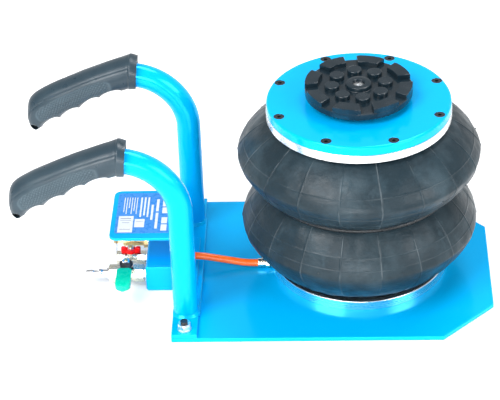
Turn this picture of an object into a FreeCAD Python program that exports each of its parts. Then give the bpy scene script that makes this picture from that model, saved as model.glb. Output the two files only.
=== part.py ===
import FreeCAD, Part
import math
import os
from FreeCAD import Vector

# Portable pneumatic lifting jack: a two-lobed rubber air bag between a steel base and a steel
# top disc, carried by two bent tube handles, with a small valve manifold between the handles.
# Millimetres, +Z up. The origin is on the lifting axis, at the underside of the base plate.
# +X runs away from the handles, and the two handles stand at -Y (near) and +Y (far).
# The base, with its handles and manifold, is drawn about its own centre line and then moved to
# BASE_CENTRE_Y; the bag, its rings and the top disc are drawn on the lifting axis.

# ---- driving dimensions ----
BASE_CENTRE_Y = -14.0       # the base's centre line lies to the near side of the lifting axis
BASE_T = 5.0                # base plate thickness
BASE_LEFT = -205.0          # base edge on the handle side
BASE_RIGHT = 145.5          # base edge on the free side
BASE_HALF_Y = 133.0
BASE_CUT_X = 57.0           # corner cut, along X
BASE_CUT_Y = 58.0           # corner cut, along Y

DISC_R = 100.0              # top disc
DISC_T = 10.0
DISC_TOP_Z = 216.0          # with the bag at its free height
RING_T = 10.0               # upper bead clamping ring
RING_INNER_R = 80.0
BASE_RING_T = 11.0          # lower bead clamping ring
BASE_RING_R = 98.0
TOP_RING_R = 100.5
SCREW_PCD_R = 92.5
BASE_SCREW_PCD_R = 89.0
SCREW_COUNT = 8
SCREW_FIRST_DEG = 22.5
SCREW_R = 3.0
SCREW_HEAD_R = 5.8
SCREW_SINK = 0.3            # how far the heads sit below the disc's face
SCREW_KEY = 4.0
SCREW_GAP = 0.05            # radial gap of every screw and pin in its hole

LIFT_DOWN = 70.0            # travel below the free height, to the buffer

LOBE_LOW_R = 131.0
LOBE_LOW_Z = 67.0
LOBE_HIGH_R = 134.0
LOBE_HIGH_Z = 154.0
WAIST_R = 98.0
WAIST_Z = 112.0
WAIST_HALF_T = 3.0
LOBE_POWER = 1.4            # 1 would be a straight flank, 2 an elliptical one
BAG_WALL = 7.0
BAG_LOW_R = 87.0            # where the bag leaves the lower ring
BAG_HIGH_R = 84.0           # where the bag meets the upper ring
SOFT_GAP = 0.3              # gap between the bag and the metal around it
HOOP_R = 2.5
HOOP_STEP = 3.2             # hoop's centre line outside the waist

TUBE_R = 13.5               # handle tube
TUBE_WALL = 2.5
TUBE_X = -191.0
TUBE_Y = 89.0
TUBE_BEND_Z = 138.5         # where the vertical run ends
TUBE_BEND_R = 67.5
TUBE_BEND_DEG = 113.0
TUBE_TAIL = 66.0            # straight end inside the grip
WELD_LEG = 3.0

GRIP_R = 19.0
GRIP_COLLAR_R = 20.5
GRIP_COLLAR_L = 9.0
GRIP_START_DEG = 80.0       # where on the bend the grip begins
GRIP_TAIL = 75.0            # straight length of the grip's axis
GRIP_KNUCKLE_STEP = 0.3     # the rounded end is this much smaller than the barrel
GRIP_TIP_R = 9.0            # the grip's end droops to a small rounded tip
GRIP_TIP_OUT = 8.5
GRIP_TIP_DROP = 25.0
DRAIN_R = 3.0

FOOT_T = 5.0
FOOT_LEN = 39.0
FOOT_RIGHT = -177.0
FOOT_SPLIT = 0.2            # gap between a foot plate and the cross member
FOOT_BOLT_Y = 122.0
FOOT_BOLT_R = 4.0
FOOT_BOLT_HEAD_R = 7.6
FOOT_BOLT_KEY = 5.0
FOOT_BOLT_RISE = 11.0       # how far a bolt stands above its foot plate
WASHER_R = 7.5
WASHER_T = 1.4
NUT_AF = 13.0
NUT_T = 6.5
EDGE_ROUND = 0.8

BLOCK_LEFT = -238.0         # manifold, a closed box section beside the base
BLOCK_NEAR_Y = -38.0
BLOCK_FAR_Y = 46.0
BLOCK_BOTTOM = 0.5
BLOCK_H = 31.5
BLOCK_WALL = 3.0
BLOCK_CORNER = 3.0

LABEL_T = 3.0
LABEL_TOP_Z = 78.0
LABEL_LEFT = -275.0
LABEL_HALF_Y = 47.5
LABEL_CORNER = 9.0
LABEL_RIM = 5.5
LABEL_FLANGE = 20.0         # foot of the bracket, lying on the cross member
HOSE_WAY_HALF_Y = 9.0       # the bracket's web is open round the hose
STICKER_T = 0.25
STICKER_NEAR_RIM = 10.0     # plain strip of the shelf on the near side of its sticker

VALVE_Z = 16.5
INFLATE_Y = -26.0
RELEASE_Y = 4.0
RELIEF_Y = 36.0
NIPPLE_L = 4.5
NIPPLE_R = 5.0
NIPPLE_HEX_T = 2.0
NIPPLE_SOCKET = 2.0         # how far a nipple enters its valve
VALVE_BORE_R = 2.6
INFLATE_L = 39.0            # valve body length
INFLATE_AF = 18.0           # and width across flats
RELEASE_L = 33.0
RELEASE_AF = 14.0
BOSS_R = 5.0
BALL_SHARE = 0.3            # valve ball radius over the body's width across flats
SEAT_T = 2.5
STEM_R = 2.0
LEVER_T = 2.0
LEVER_W = 12.0
LEVER_LEN = 53.0
LEVER_RISE = 5.0
SLEEVE_LEN = 35.0
SLEEVE_W = 16.5
SLEEVE_T = 7.0
LEVER_GAP = 0.5             # between a lever's hub and the valve's boss

RELIEF_L = 26.0             # relief valve body
RELIEF_R = 5.0
RELIEF_BORE_R = 3.9
RELIEF_NIPPLE_R = 3.8
RELIEF_STEM_R = 1.5
RELIEF_STEM_OUT = 8.0       # stem beyond the body, to its eye
PULL_RING_R = 6.5
PULL_WIRE_R = 0.8

HOSE_R = 4.0
HOSE_BORE_R = 2.5
HOSE_Z = 21.0               # where the hose leaves the manifold
HOSE_RUN = 22.0             # level run at each end of the hose

GUIDE_WALL = 3.0
GUIDE_GAP = 0.05
GUIDE_OUTER_R = 30.0
GUIDE_LEN = 120.0
GUIDE_MID_LEN = 110.0
GUIDE_MID_Z = 50.0

PAD_R = 58.0
PAD_BODY_T = 8.0
PAD_LUG_T = 5.0
PAD_LUG_COUNT = 8
PAD_LUG_INNER_R = 44.0
PAD_LUG_HALF_DEG = 15.5
PAD_LUG_FIRST_DEG = -14.0
PAD_STUD_R = 8.0
PAD_STUD_PCD_R = 29.0
PAD_STUD_FIRST_DEG = 8.0
PAD_BOSS_R = 14.0
PAD_SCREW_R = 5.0
PAD_SCREW_HEAD_R = 6.4
PAD_SCREW_SEAT = 5.0        # height of the screw head's seat above the pad's underside
PAD_NUT_AF = 16.0
PAD_NUT_T = 8.0
SPACER_R = 46.0
SPACER_T = 7.0

# ---- derived places ----
DISC_BOTTOM_Z = DISC_TOP_Z - DISC_T
TOP_RING_Z = DISC_BOTTOM_Z - RING_T
RING_PORT_Z = BASE_T + BASE_RING_T / 2
BAG_LOW_Z = BASE_T + BASE_RING_T + SOFT_GAP
BAG_HIGH_Z = TOP_RING_Z - SOFT_GAP
BLOCK_RIGHT = BASE_LEFT
VALVE_FACE_X = BLOCK_LEFT - NIPPLE_L
FOOT_TOP_Z = BASE_T + FOOT_T
VALVE_RIGHT = VALVE_FACE_X + NIPPLE_SOCKET
INFLATE_BOSS_Z = VALVE_Z + INFLATE_AF / 2 + 2.0
RELEASE_BOSS_Z = VALVE_Z + RELEASE_AF / 2 + 0.6
RELIEF_LEFT = VALVE_FACE_X - RELIEF_L
PAD_LOW_Z = DISC_TOP_Z + SPACER_T
PAD_TOP_Z = PAD_LOW_Z + PAD_BODY_T + PAD_LUG_T
PAD_SEAT_Z = PAD_LOW_Z + PAD_SCREW_SEAT
UP = Vector(0, 0, 1)
ALONG_X = Vector(1, 0, 0)
ALONG_Y = Vector(0, 1, 0)


# ---- shared shapes ----
def rod(radius, length, start, direction=UP):
    return Part.makeCylinder(radius, length, start, direction)


def ring(outer_r, inner_r, length, start, direction=UP):
    return rod(outer_r, length, start, direction).cut(rod(inner_r, length, start, direction))


def box(x0, x1, y0, y1, z0, z1):
    return Part.makeBox(x1 - x0, y1 - y0, z1 - z0, Vector(x0, y0, z0))


def prism(points, z0, height):
    face = Part.Face(Part.makePolygon(points + [points[0]]))
    face.translate(Vector(0, 0, z0))
    return face.extrude(Vector(0, 0, height))


def hexagon(across_flats, length, start, direction=UP):
    corner_r = across_flats / math.sqrt(3)
    points = []
    for k in range(6):
        angle = math.radians(60 * k + 30)
        points.append(Vector(corner_r * math.cos(angle), corner_r * math.sin(angle), 0))
    solid = prism(points, 0, length)
    turn = FreeCAD.Rotation(UP, direction)
    solid.Placement = FreeCAD.Placement(start, turn)
    return solid


def on_circle(radius, index, count, first_deg, z):
    angle = math.radians(first_deg + 360.0 * index / count)
    return Vector(radius * math.cos(angle), radius * math.sin(angle), z)


def edges_along(shape, direction, test):
    chosen = []
    for edge in shape.Edges:
        if len(edge.Vertexes) < 2:
            continue
        run = edge.Vertexes[1].Point.sub(edge.Vertexes[0].Point)
        if run.Length > 0 and abs(run.normalize().dot(direction)) > 0.999 and test(edge.CenterOfMass):
            chosen.append(edge)
    return chosen


def group(solids):
    return Part.makeCompound(solids)


def mirrored_y(shape):
    return shape.mirror(Vector(0, 0, 0), ALONG_Y)


def across_to_far(shape):
    """A handle piece is symmetric about its own plane, so the far one is the near one moved over."""
    moved = shape.copy()
    moved.translate(Vector(0, 2 * TUBE_Y, 0))
    return moved


def save(name, shape):
    for solid in shape.Solids:
        if not solid.isValid():
            print("INVALID", name)
    bounds = shape.BoundBox
    print(name, len(shape.Solids), round(shape.Volume), [round(v, 1) for v in (
        bounds.XMin, bounds.XMax, bounds.YMin, bounds.YMax, bounds.ZMin, bounds.ZMax)])
    shape.exportStep("parts/" + name + ".step")


# ---- screws ----
def countersunk_screw(shank_r, head_r, length, hex_key):
    """Head face at z = 0, pointing down -Z, with a hexagon socket."""
    head_t = head_r - shank_r
    head = Part.makeCone(shank_r, head_r, head_t, Vector(0, 0, -head_t))
    shank = rod(shank_r, length - head_t, Vector(0, 0, -length))
    socket = hexagon(hex_key, head_t * 0.9, Vector(0, 0, -head_t * 0.9))
    return head.fuse(shank).removeSplitter().cut(socket)


def countersunk_hole(shank_r, head_r, depth):
    gap = SCREW_GAP
    head_t = head_r - shank_r
    cone = Part.makeCone(shank_r + gap, head_r + gap, head_t, Vector(0, 0, -head_t))
    return cone.fuse(rod(shank_r + gap, depth, Vector(0, 0, -depth)))


# ---- base ----
def base_outline():
    right_y = BASE_HALF_Y - BASE_CUT_Y
    cut_x = BASE_RIGHT - BASE_CUT_X
    return [
        Vector(BASE_LEFT, -BASE_HALF_Y, 0),
        Vector(cut_x, -BASE_HALF_Y, 0),
        Vector(BASE_RIGHT, -right_y, 0),
        Vector(BASE_RIGHT, right_y, 0),
        Vector(cut_x, BASE_HALF_Y, 0),
        Vector(BASE_LEFT, BASE_HALF_Y, 0),
    ]


def on_base(shape):
    """Moves a piece drawn about the base's centre line to its place beside the lifting axis."""
    shape.translate(Vector(0, BASE_CENTRE_Y, 0))
    return shape


def flipped(shape):
    shape.rotate(Vector(0, 0, 0), ALONG_X, 180)
    return shape


def base_plate():
    plate = prism(base_outline(), 0, BASE_T)
    plate = plate.makeFillet(EDGE_ROUND, plate.Edges)
    for side in (-1, 1):
        hole = flipped(countersunk_hole(FOOT_BOLT_R, FOOT_BOLT_HEAD_R, BASE_T + 1))
        hole.translate(Vector(TUBE_X, side * FOOT_BOLT_Y, 0))
        plate = plate.cut(hole)
    plate = on_base(plate)
    for k in range(SCREW_COUNT):
        hole = flipped(countersunk_hole(SCREW_R, SCREW_HEAD_R, BASE_T + 1))
        hole.translate(on_circle(BASE_SCREW_PCD_R, k, SCREW_COUNT, SCREW_FIRST_DEG, 0))
        plate = plate.cut(hole)
    return plate


def foot_plate():
    """Near foot: it carries the tube at its inner end and one bolt at its outer end."""
    plate = box(BASE_LEFT, FOOT_RIGHT, -BASE_HALF_Y, -BASE_HALF_Y + FOOT_LEN, BASE_T, FOOT_TOP_Z)
    plate = plate.makeFillet(EDGE_ROUND, plate.Edges)
    return plate.cut(rod(FOOT_BOLT_R + SCREW_GAP, FOOT_T, Vector(TUBE_X, -FOOT_BOLT_Y, BASE_T)))


def cross_member():
    reach = BASE_HALF_Y - FOOT_LEN - FOOT_SPLIT
    bar = box(BASE_LEFT, FOOT_RIGHT + 1.5, -reach, reach, BASE_T, FOOT_TOP_Z)
    return bar.makeFillet(EDGE_ROUND, bar.Edges)


def foot_bolts():
    bolts = []
    for side in (-1, 1):
        length = FOOT_TOP_Z + FOOT_BOLT_RISE
        bolt = flipped(countersunk_screw(FOOT_BOLT_R, FOOT_BOLT_HEAD_R, length, FOOT_BOLT_KEY))
        bolt.translate(Vector(TUBE_X, side * FOOT_BOLT_Y, 0))
        bolts.append(bolt)
    return group(bolts)


def foot_washers():
    washers = []
    for side in (-1, 1):
        start = Vector(TUBE_X, side * FOOT_BOLT_Y, FOOT_TOP_Z)
        washers.append(ring(WASHER_R, FOOT_BOLT_R + SCREW_GAP, WASHER_T, start))
    return group(washers)


def foot_nuts():
    nuts = []
    for side in (-1, 1):
        start = Vector(TUBE_X, side * FOOT_BOLT_Y, FOOT_TOP_Z + WASHER_T)
        bevel = Part.makeCone(NUT_AF * 0.74, NUT_AF * 0.51, NUT_T, start)
        nut = hexagon(NUT_AF, NUT_T, start).common(bevel)
        nuts.append(nut.cut(rod(FOOT_BOLT_R + SCREW_GAP, NUT_T, start)))
    return group(nuts)


# ---- handles ----
def bend_point(degrees):
    angle = math.radians(degrees)
    x = TUBE_X - TUBE_BEND_R + TUBE_BEND_R * math.cos(angle)
    z = TUBE_BEND_Z + TUBE_BEND_R * math.sin(angle)
    return Vector(x, -TUBE_Y, z)


def bend_direction(degrees):
    angle = math.radians(degrees)
    return Vector(-math.sin(angle), 0, math.cos(angle))


def swept(path_edges, radius):
    path = Part.Wire(path_edges)
    first = path_edges[0]
    start = first.valueAt(first.FirstParameter)
    tangent = first.tangentAt(first.FirstParameter)
    profile = Part.Wire([Part.makeCircle(radius, start, tangent)])
    return path.makePipeShell([profile], True, True)


def tube_path(start_deg, tail):
    """The handle's axis from a place on the bend to the end of the straight tail."""
    middle = (start_deg + TUBE_BEND_DEG) / 2
    arc = Part.Arc(bend_point(start_deg), bend_point(middle), bend_point(TUBE_BEND_DEG)).toShape()
    end = bend_point(TUBE_BEND_DEG).add(bend_direction(TUBE_BEND_DEG).multiply(tail))
    return [arc, Part.makeLine(bend_point(TUBE_BEND_DEG), end)]


def handle_tube():
    foot = Vector(TUBE_X, -TUBE_Y, FOOT_TOP_Z)
    path = [Part.makeLine(foot, bend_point(0))] + tube_path(0, TUBE_TAIL)
    return swept(path, TUBE_R).cut(swept(path, TUBE_R - TUBE_WALL))


def handle_weld():
    """Fillet weld round the tube, on the foot plate and the cross member that it stands across."""
    foot = Vector(TUBE_X, -TUBE_Y, FOOT_TOP_Z)
    bead = Part.makeCone(TUBE_R + WELD_LEG, TUBE_R + 0.2, WELD_LEG, foot)
    return bead.cut(rod(TUBE_R, WELD_LEG, foot)).common(foot_weld_room())


def foot_weld_room():
    return box(BASE_LEFT, FOOT_RIGHT, -BASE_HALF_Y, 0, FOOT_TOP_Z, FOOT_TOP_Z + WELD_LEG)


def handle_grip():
    """Hollow grip on the tube's end: a collar, a long barrel and a drooping rounded tip."""
    path = tube_path(GRIP_START_DEG, GRIP_TAIL)
    end = path[1].Vertexes[1].Point
    droop = Vector(-GRIP_TIP_OUT, 0, -GRIP_TIP_DROP)
    tip = end.add(droop)
    taper = Part.makeCone(GRIP_R * 0.94, GRIP_TIP_R * 0.94, droop.Length, end, droop)
    taper = taper.fuse(Part.makeSphere(GRIP_TIP_R, tip))
    knuckle = Part.makeSphere(GRIP_R - GRIP_KNUCKLE_STEP, end)
    body = swept(path, GRIP_R).fuse(knuckle).fuse(taper)
    collar_way = bend_direction(GRIP_START_DEG + 4)
    collar = rod(GRIP_COLLAR_R, GRIP_COLLAR_L, bend_point(GRIP_START_DEG), collar_way)
    body = body.fuse(collar)
    bore_path = tube_path(GRIP_START_DEG - 6, TUBE_TAIL + 0.5)
    body = body.cut(swept(bore_path, TUBE_R + SCREW_GAP))
    return body.cut(rod(DRAIN_R, GRIP_TIP_R + 1, tip, droop))


# ---- manifold, bracket and label ----
def manifold_block():
    bottom = BLOCK_BOTTOM
    top = bottom + BLOCK_H
    wall = BLOCK_WALL
    outer = box(BLOCK_LEFT, BLOCK_RIGHT, BLOCK_NEAR_Y + wall, BLOCK_FAR_Y - wall, bottom, top)
    outer = outer.makeFillet(BLOCK_CORNER, edges_along(outer, ALONG_Y, lambda p: True))
    inner = box(BLOCK_LEFT + wall, BLOCK_RIGHT - wall, BLOCK_NEAR_Y, BLOCK_FAR_Y, bottom + wall, top - wall)
    shell = outer.cut(inner)
    for y in (INFLATE_Y, RELEASE_Y, RELIEF_Y):
        start = Vector(BLOCK_LEFT - 1, y, VALVE_Z)
        shell = shell.cut(rod(NIPPLE_R * 0.8 + SCREW_GAP, wall * 2, start, ALONG_X))
    port = rod(NIPPLE_R + SCREW_GAP, wall * 2, Vector(BLOCK_RIGHT - wall - 1, 0, HOSE_Z), ALONG_X)
    return shell.cut(port)


def manifold_end_cap(outer_y, inner_y):
    low, high = sorted((outer_y, inner_y))
    cap = box(BLOCK_LEFT, BLOCK_RIGHT, low, high, BLOCK_BOTTOM, BLOCK_BOTTOM + BLOCK_H)
    cap = cap.makeFillet(BLOCK_CORNER, edges_along(cap, ALONG_Y, lambda p: True))
    rim = [e for e in cap.Edges if abs(e.CenterOfMass.y - outer_y) < 0.01]
    return cap.makeFillet(1.2, rim)


def manifold_end_caps():
    near = manifold_end_cap(BLOCK_NEAR_Y, BLOCK_NEAR_Y + BLOCK_WALL)
    far = manifold_end_cap(BLOCK_FAR_Y, BLOCK_FAR_Y - BLOCK_WALL)
    return group([near, far])


def label_bracket():
    """Folded sheet: a foot on the cross member, an upright web and a shelf over the valves."""
    web_x = BASE_LEFT + 4
    half = LABEL_HALF_Y
    shelf = box(LABEL_LEFT, web_x, -half, half, LABEL_TOP_Z - LABEL_T, LABEL_TOP_Z)
    corners = edges_along(shelf, UP, lambda p: p.x < LABEL_LEFT + 1)
    shelf = shelf.makeFillet(LABEL_CORNER, corners)
    web = box(web_x - LABEL_T, web_x, -half, half, FOOT_TOP_Z, LABEL_TOP_Z)
    foot = box(web_x - LABEL_T, web_x + LABEL_FLANGE, -half, half, FOOT_TOP_Z, FOOT_TOP_Z + LABEL_T)
    way = HOSE_WAY_HALF_Y
    hose_way = box(web_x - LABEL_T, web_x, -way, way, FOOT_TOP_Z + LABEL_T, HOSE_Z + 14)
    whole = shelf.fuse([web, foot]).removeSplitter().cut(hose_way)
    top_fold = edges_along(whole, ALONG_Y, lambda p: p.x > web_x - 0.01 and p.z > LABEL_TOP_Z - 0.01)
    whole = whole.makeFillet(LABEL_T - 0.2, top_fold)
    rim = [e for e in whole.Edges if e.CenterOfMass.z > LABEL_TOP_Z - 0.01 and e.CenterOfMass.x < web_x - 6]
    return whole.makeFillet(EDGE_ROUND, rim)


def label_sticker():
    right = BASE_LEFT - 4
    near = STICKER_NEAR_RIM - LABEL_HALF_Y
    far = LABEL_HALF_Y - LABEL_RIM
    plate = box(LABEL_LEFT + LABEL_RIM, right, near, far, LABEL_TOP_Z, LABEL_TOP_Z + STICKER_T)
    return plate.makeFillet(3, edges_along(plate, UP, lambda p: True))


# ---- ball valves, with the flow along X and the stem upright ----
def threaded_nipple(y):
    """Short pipe from the manifold wall into a valve body."""
    inner = ring(NIPPLE_R * 0.8, VALVE_BORE_R, BLOCK_WALL, Vector(BLOCK_LEFT, y, VALVE_Z), ALONG_X)
    outer = ring(NIPPLE_R, VALVE_BORE_R, NIPPLE_L, Vector(VALVE_FACE_X, y, VALVE_Z), ALONG_X)
    shoulder = hexagon(14, NIPPLE_HEX_T, Vector(BLOCK_LEFT - NIPPLE_HEX_T, y, VALVE_Z), ALONG_X)
    shoulder = shoulder.cut(rod(NIPPLE_R - 0.5, NIPPLE_HEX_T, Vector(BLOCK_LEFT - NIPPLE_HEX_T, y, VALVE_Z),
                                ALONG_X))
    return inner.fuse([outer, shoulder]).removeSplitter()


def valve_body(y, length, across, boss_top):
    """Body with a hexagon at each end, a ball chamber and an upright stem boss."""
    left = VALVE_RIGHT - length
    middle = valve_centre(length)
    end_hex = length * 0.3
    axis = Vector(left, y, VALVE_Z)
    body = rod(across * 0.45, length, axis, ALONG_X)
    for x in (left, VALVE_RIGHT - end_hex):
        ends = hexagon(across, end_hex, Vector(x, y, VALVE_Z), ALONG_X)
        bevel = rod(across * 0.56, end_hex, Vector(x, y, VALVE_Z), ALONG_X)
        body = body.fuse(ends.common(bevel.makeFillet(1.0, bevel.Edges)))
    boss = rod(BOSS_R, boss_top - VALVE_Z, Vector(middle, y, VALVE_Z))
    body = body.fuse(boss).removeSplitter()
    body = body.cut(rod(VALVE_BORE_R, length, axis, ALONG_X))
    ball_r = BALL_SHARE * across
    chamber = 2 * (ball_r + SEAT_T / 2)
    body = body.cut(rod(ball_r + 0.4, chamber, Vector(middle - chamber / 2, y, VALVE_Z), ALONG_X))
    socket = Vector(VALVE_FACE_X, y, VALVE_Z)
    body = body.cut(rod(NIPPLE_R + SCREW_GAP, NIPPLE_SOCKET, socket, ALONG_X))
    return body.cut(rod(STEM_R + GUIDE_GAP, across, Vector(middle, y, VALVE_Z)))


def valve_centre(length):
    return VALVE_RIGHT - length / 2


def valve_seats(y, length, across):
    """Two soft rings, one each side, that the ball turns between."""
    seats = []
    middle = valve_centre(length)
    ball_r = BALL_SHARE * across
    for x in (middle - ball_r - SEAT_T / 2, middle + ball_r - SEAT_T / 2):
        seat = ring(ball_r, VALVE_BORE_R, SEAT_T, Vector(x, y, VALVE_Z), ALONG_X)
        seats.append(seat.cut(Part.makeSphere(ball_r + GUIDE_GAP, Vector(middle, y, VALVE_Z))))
    return group(seats)


def valve_ball(y, length, across, bore_dir):
    """Ball with its through bore, and a socket in its top for the stem."""
    middle = Vector(valve_centre(length), y, VALVE_Z)
    ball_r = BALL_SHARE * across
    ball = Part.makeSphere(ball_r, middle)
    bore_start = middle.sub(Vector(bore_dir).multiply(ball_r))
    ball = ball.cut(rod(VALVE_BORE_R - 0.3, 2 * ball_r, bore_start, bore_dir))
    return ball.cut(rod(STEM_R + GUIDE_GAP, ball_r, middle.add(Vector(0, 0, ball_r - 1.2))))


def valve_stem(y, length, across, top_z):
    low = VALVE_Z + BALL_SHARE * across - 1.1
    return rod(STEM_R, top_z - low, Vector(valve_centre(length), y, low))


def inflate_lever():
    """Flat steel lever: a hub on the stem, a short rise, then a straight arm along -Y."""
    hub_z = INFLATE_BOSS_Z + LEVER_GAP
    x = valve_centre(INFLATE_L)
    hub = rod(7.5, LEVER_T, Vector(x, INFLATE_Y, hub_z))
    left = x - LEVER_W / 2
    low = Vector(left, INFLATE_Y - 3, hub_z)
    profile = [
        low,
        Vector(left, INFLATE_Y - 9, hub_z),
        Vector(left, INFLATE_Y - 15, hub_z + LEVER_RISE),
        Vector(left, INFLATE_Y - LEVER_LEN, hub_z + LEVER_RISE),
        Vector(left, INFLATE_Y - LEVER_LEN, hub_z + LEVER_RISE + LEVER_T),
        Vector(left, INFLATE_Y - 16, hub_z + LEVER_RISE + LEVER_T),
        Vector(left, INFLATE_Y - 10, hub_z + LEVER_T),
        Vector(left, INFLATE_Y - 3, hub_z + LEVER_T),
    ]
    arm = Part.Face(Part.makePolygon(profile + [low])).extrude(Vector(LEVER_W, 0, 0))
    lever = hub.fuse(arm).removeSplitter()
    return lever.cut(rod(STEM_R + SCREW_GAP, LEVER_T, Vector(x, INFLATE_Y, hub_z)))


def inflate_sleeve():
    """Soft sleeve over the lever's end, closed at its tip."""
    z = INFLATE_BOSS_Z + LEVER_GAP + LEVER_RISE + LEVER_T / 2
    x = valve_centre(INFLATE_L)
    tip = INFLATE_Y - LEVER_LEN - 2
    back = tip + SLEEVE_LEN
    sleeve = box(x - SLEEVE_W / 2, x + SLEEVE_W / 2, tip, back, z - SLEEVE_T / 2, z + SLEEVE_T / 2)
    sleeve = sleeve.makeFillet(3.0, edges_along(sleeve, ALONG_Y, lambda p: True))
    slot_x = LEVER_W / 2 + SCREW_GAP
    slot_z = LEVER_T / 2 + SCREW_GAP
    slot = box(x - slot_x, x + slot_x, tip + 2 - SCREW_GAP, back, z - slot_z, z + slot_z)
    return sleeve.cut(slot)


def stem_nut(y, length, z, across, height):
    x = valve_centre(length)
    nut = hexagon(across, height, Vector(x, y, z))
    nut = nut.common(Part.makeCone(across * 0.62, across * 0.5, height, Vector(x, y, z)))
    return nut.cut(rod(STEM_R + SCREW_GAP, height, Vector(x, y, z)))


def release_handle():
    """Butterfly handle: a round hub with a low wing on each side, along the flow."""
    x = valve_centre(RELEASE_L)
    z = RELEASE_BOSS_Z + LEVER_GAP
    hub = rod(6.0, 4.0, Vector(x, RELEASE_Y, z))
    bar = box(x - 11, x + 11, RELEASE_Y - 4, RELEASE_Y + 4, z + 0.5, z + 3)
    bar = bar.makeFillet(3.5, edges_along(bar, UP, lambda p: True))
    handle = hub.fuse(bar)
    for inner, outer in ((-5.5, -11), (5.5, 11)):
        low, high = sorted((x + inner, x + outer))
        wing = box(low, high, RELEASE_Y - 2.5, RELEASE_Y + 2.5, z + 2, z + 6.5)
        handle = handle.fuse(wing.makeFillet(1.6, wing.Edges))
    handle = handle.removeSplitter()
    return handle.cut(rod(STEM_R + SCREW_GAP, 4.0, Vector(x, RELEASE_Y, z)))


def quick_plug():
    """Male quick-connect plug in the inlet end of the near valve, pointing along -X."""
    face = VALVE_RIGHT - INFLATE_L
    profile = [(0, 6.5), (2.5, 6.5), (2.5, 4.6), (7, 4.6), (9, 5.6), (11.5, 5.6), (13, 3.6), (17, 3.6),
               (18, 4.5), (25.5, 4.5), (26.5, 3.7)]
    points = [Vector(face, INFLATE_Y, VALVE_Z)]
    for out, radius in profile:
        points.append(Vector(face - out, INFLATE_Y, VALVE_Z + radius))
    points.append(Vector(face - profile[-1][0], INFLATE_Y, VALVE_Z))
    outline = Part.Face(Part.makePolygon(points + [points[0]]))
    solid = outline.revolve(Vector(face, INFLATE_Y, VALVE_Z), ALONG_X, 360)
    spigot = rod(VALVE_BORE_R - SCREW_GAP, 6, Vector(face, INFLATE_Y, VALVE_Z), ALONG_X)
    solid = solid.fuse(spigot).removeSplitter()
    return solid.cut(rod(2.2, 40, Vector(face - 30, INFLATE_Y, VALVE_Z), ALONG_X))


# ---- relief valve, along -X ----
def relief_valve_body():
    left = RELIEF_LEFT
    y = RELIEF_Y
    body = rod(RELIEF_R, RELIEF_L + NIPPLE_SOCKET, Vector(left, y, VALVE_Z), ALONG_X)
    body = body.fuse(hexagon(13, 4.5, Vector(VALVE_FACE_X - 2.5, y, VALVE_Z), ALONG_X))
    for k in range(3):
        body = body.fuse(rod(RELIEF_R + 0.7, 1.6, Vector(left + 2 + 5 * k, y, VALVE_Z), ALONG_X))
    body = body.removeSplitter()
    body = body.cut(rod(RELIEF_BORE_R, RELIEF_L - 5, Vector(left + 2, y, VALVE_Z), ALONG_X))
    body = body.cut(rod(RELIEF_STEM_R + GUIDE_GAP, 2, Vector(left, y, VALVE_Z), ALONG_X))
    body = body.cut(rod(2.4, 4, Vector(VALVE_FACE_X - 3.5, y, VALVE_Z), ALONG_X))
    socket = Vector(VALVE_FACE_X, y, VALVE_Z)
    return body.cut(rod(RELIEF_NIPPLE_R + SCREW_GAP, NIPPLE_SOCKET, socket, ALONG_X))


def relief_nipple():
    """The relief valve's nipple is narrower than the two others, to suit its slim body."""
    inner = ring(NIPPLE_R * 0.8, VALVE_BORE_R, BLOCK_WALL, Vector(BLOCK_LEFT, RELIEF_Y, VALVE_Z), ALONG_X)
    outer = ring(RELIEF_NIPPLE_R, VALVE_BORE_R, NIPPLE_L, Vector(VALVE_FACE_X, RELIEF_Y, VALVE_Z), ALONG_X)
    return inner.fuse(outer).removeSplitter()


def relief_poppet():
    """Poppet and pull stem: it seats on the shoulder inside the body and slides along -X."""
    seat_x = RELIEF_LEFT + RELIEF_L - 3
    head = rod(RELIEF_BORE_R - 0.3, 2.0, Vector(seat_x - 2.1, RELIEF_Y, VALVE_Z), ALONG_X)
    eye_x = RELIEF_LEFT - RELIEF_STEM_OUT
    stem = rod(RELIEF_STEM_R, seat_x - 1 - eye_x, Vector(eye_x, RELIEF_Y, VALVE_Z), ALONG_X)
    eye = rod(2.6, 3.2, Vector(eye_x - 0.5, RELIEF_Y - 1.6, VALVE_Z), ALONG_Y)
    whole = head.fuse([stem, eye]).removeSplitter()
    return whole.cut(rod(1.3, 5, Vector(eye_x - 0.5, RELIEF_Y - 2.5, VALVE_Z), ALONG_Y))


def relief_ring():
    """Pull ring through the stem's eye, hanging from it."""
    centre = Vector(RELIEF_LEFT - RELIEF_STEM_OUT - 0.5, RELIEF_Y, VALVE_Z - PULL_RING_R)
    return Part.makeTorus(PULL_RING_R, PULL_WIRE_R, centre, ALONG_X)


def relief_spring():
    """Coil spring between the body's inner end and the poppet's head."""
    start = RELIEF_LEFT + 2.5
    length = RELIEF_L - 8.2
    turns = 6
    coil_r = 2.9
    helix = Part.makeHelix(length / turns, length, coil_r)
    wire_section = Part.Wire([Part.makeCircle(0.4, Vector(coil_r, 0, 0), ALONG_Y)])
    coil = Part.Wire(helix.Edges).makePipeShell([wire_section], True, True)
    coil.Placement = FreeCAD.Placement(Vector(start, RELIEF_Y, VALVE_Z), FreeCAD.Rotation(UP, ALONG_X))
    return coil


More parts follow.
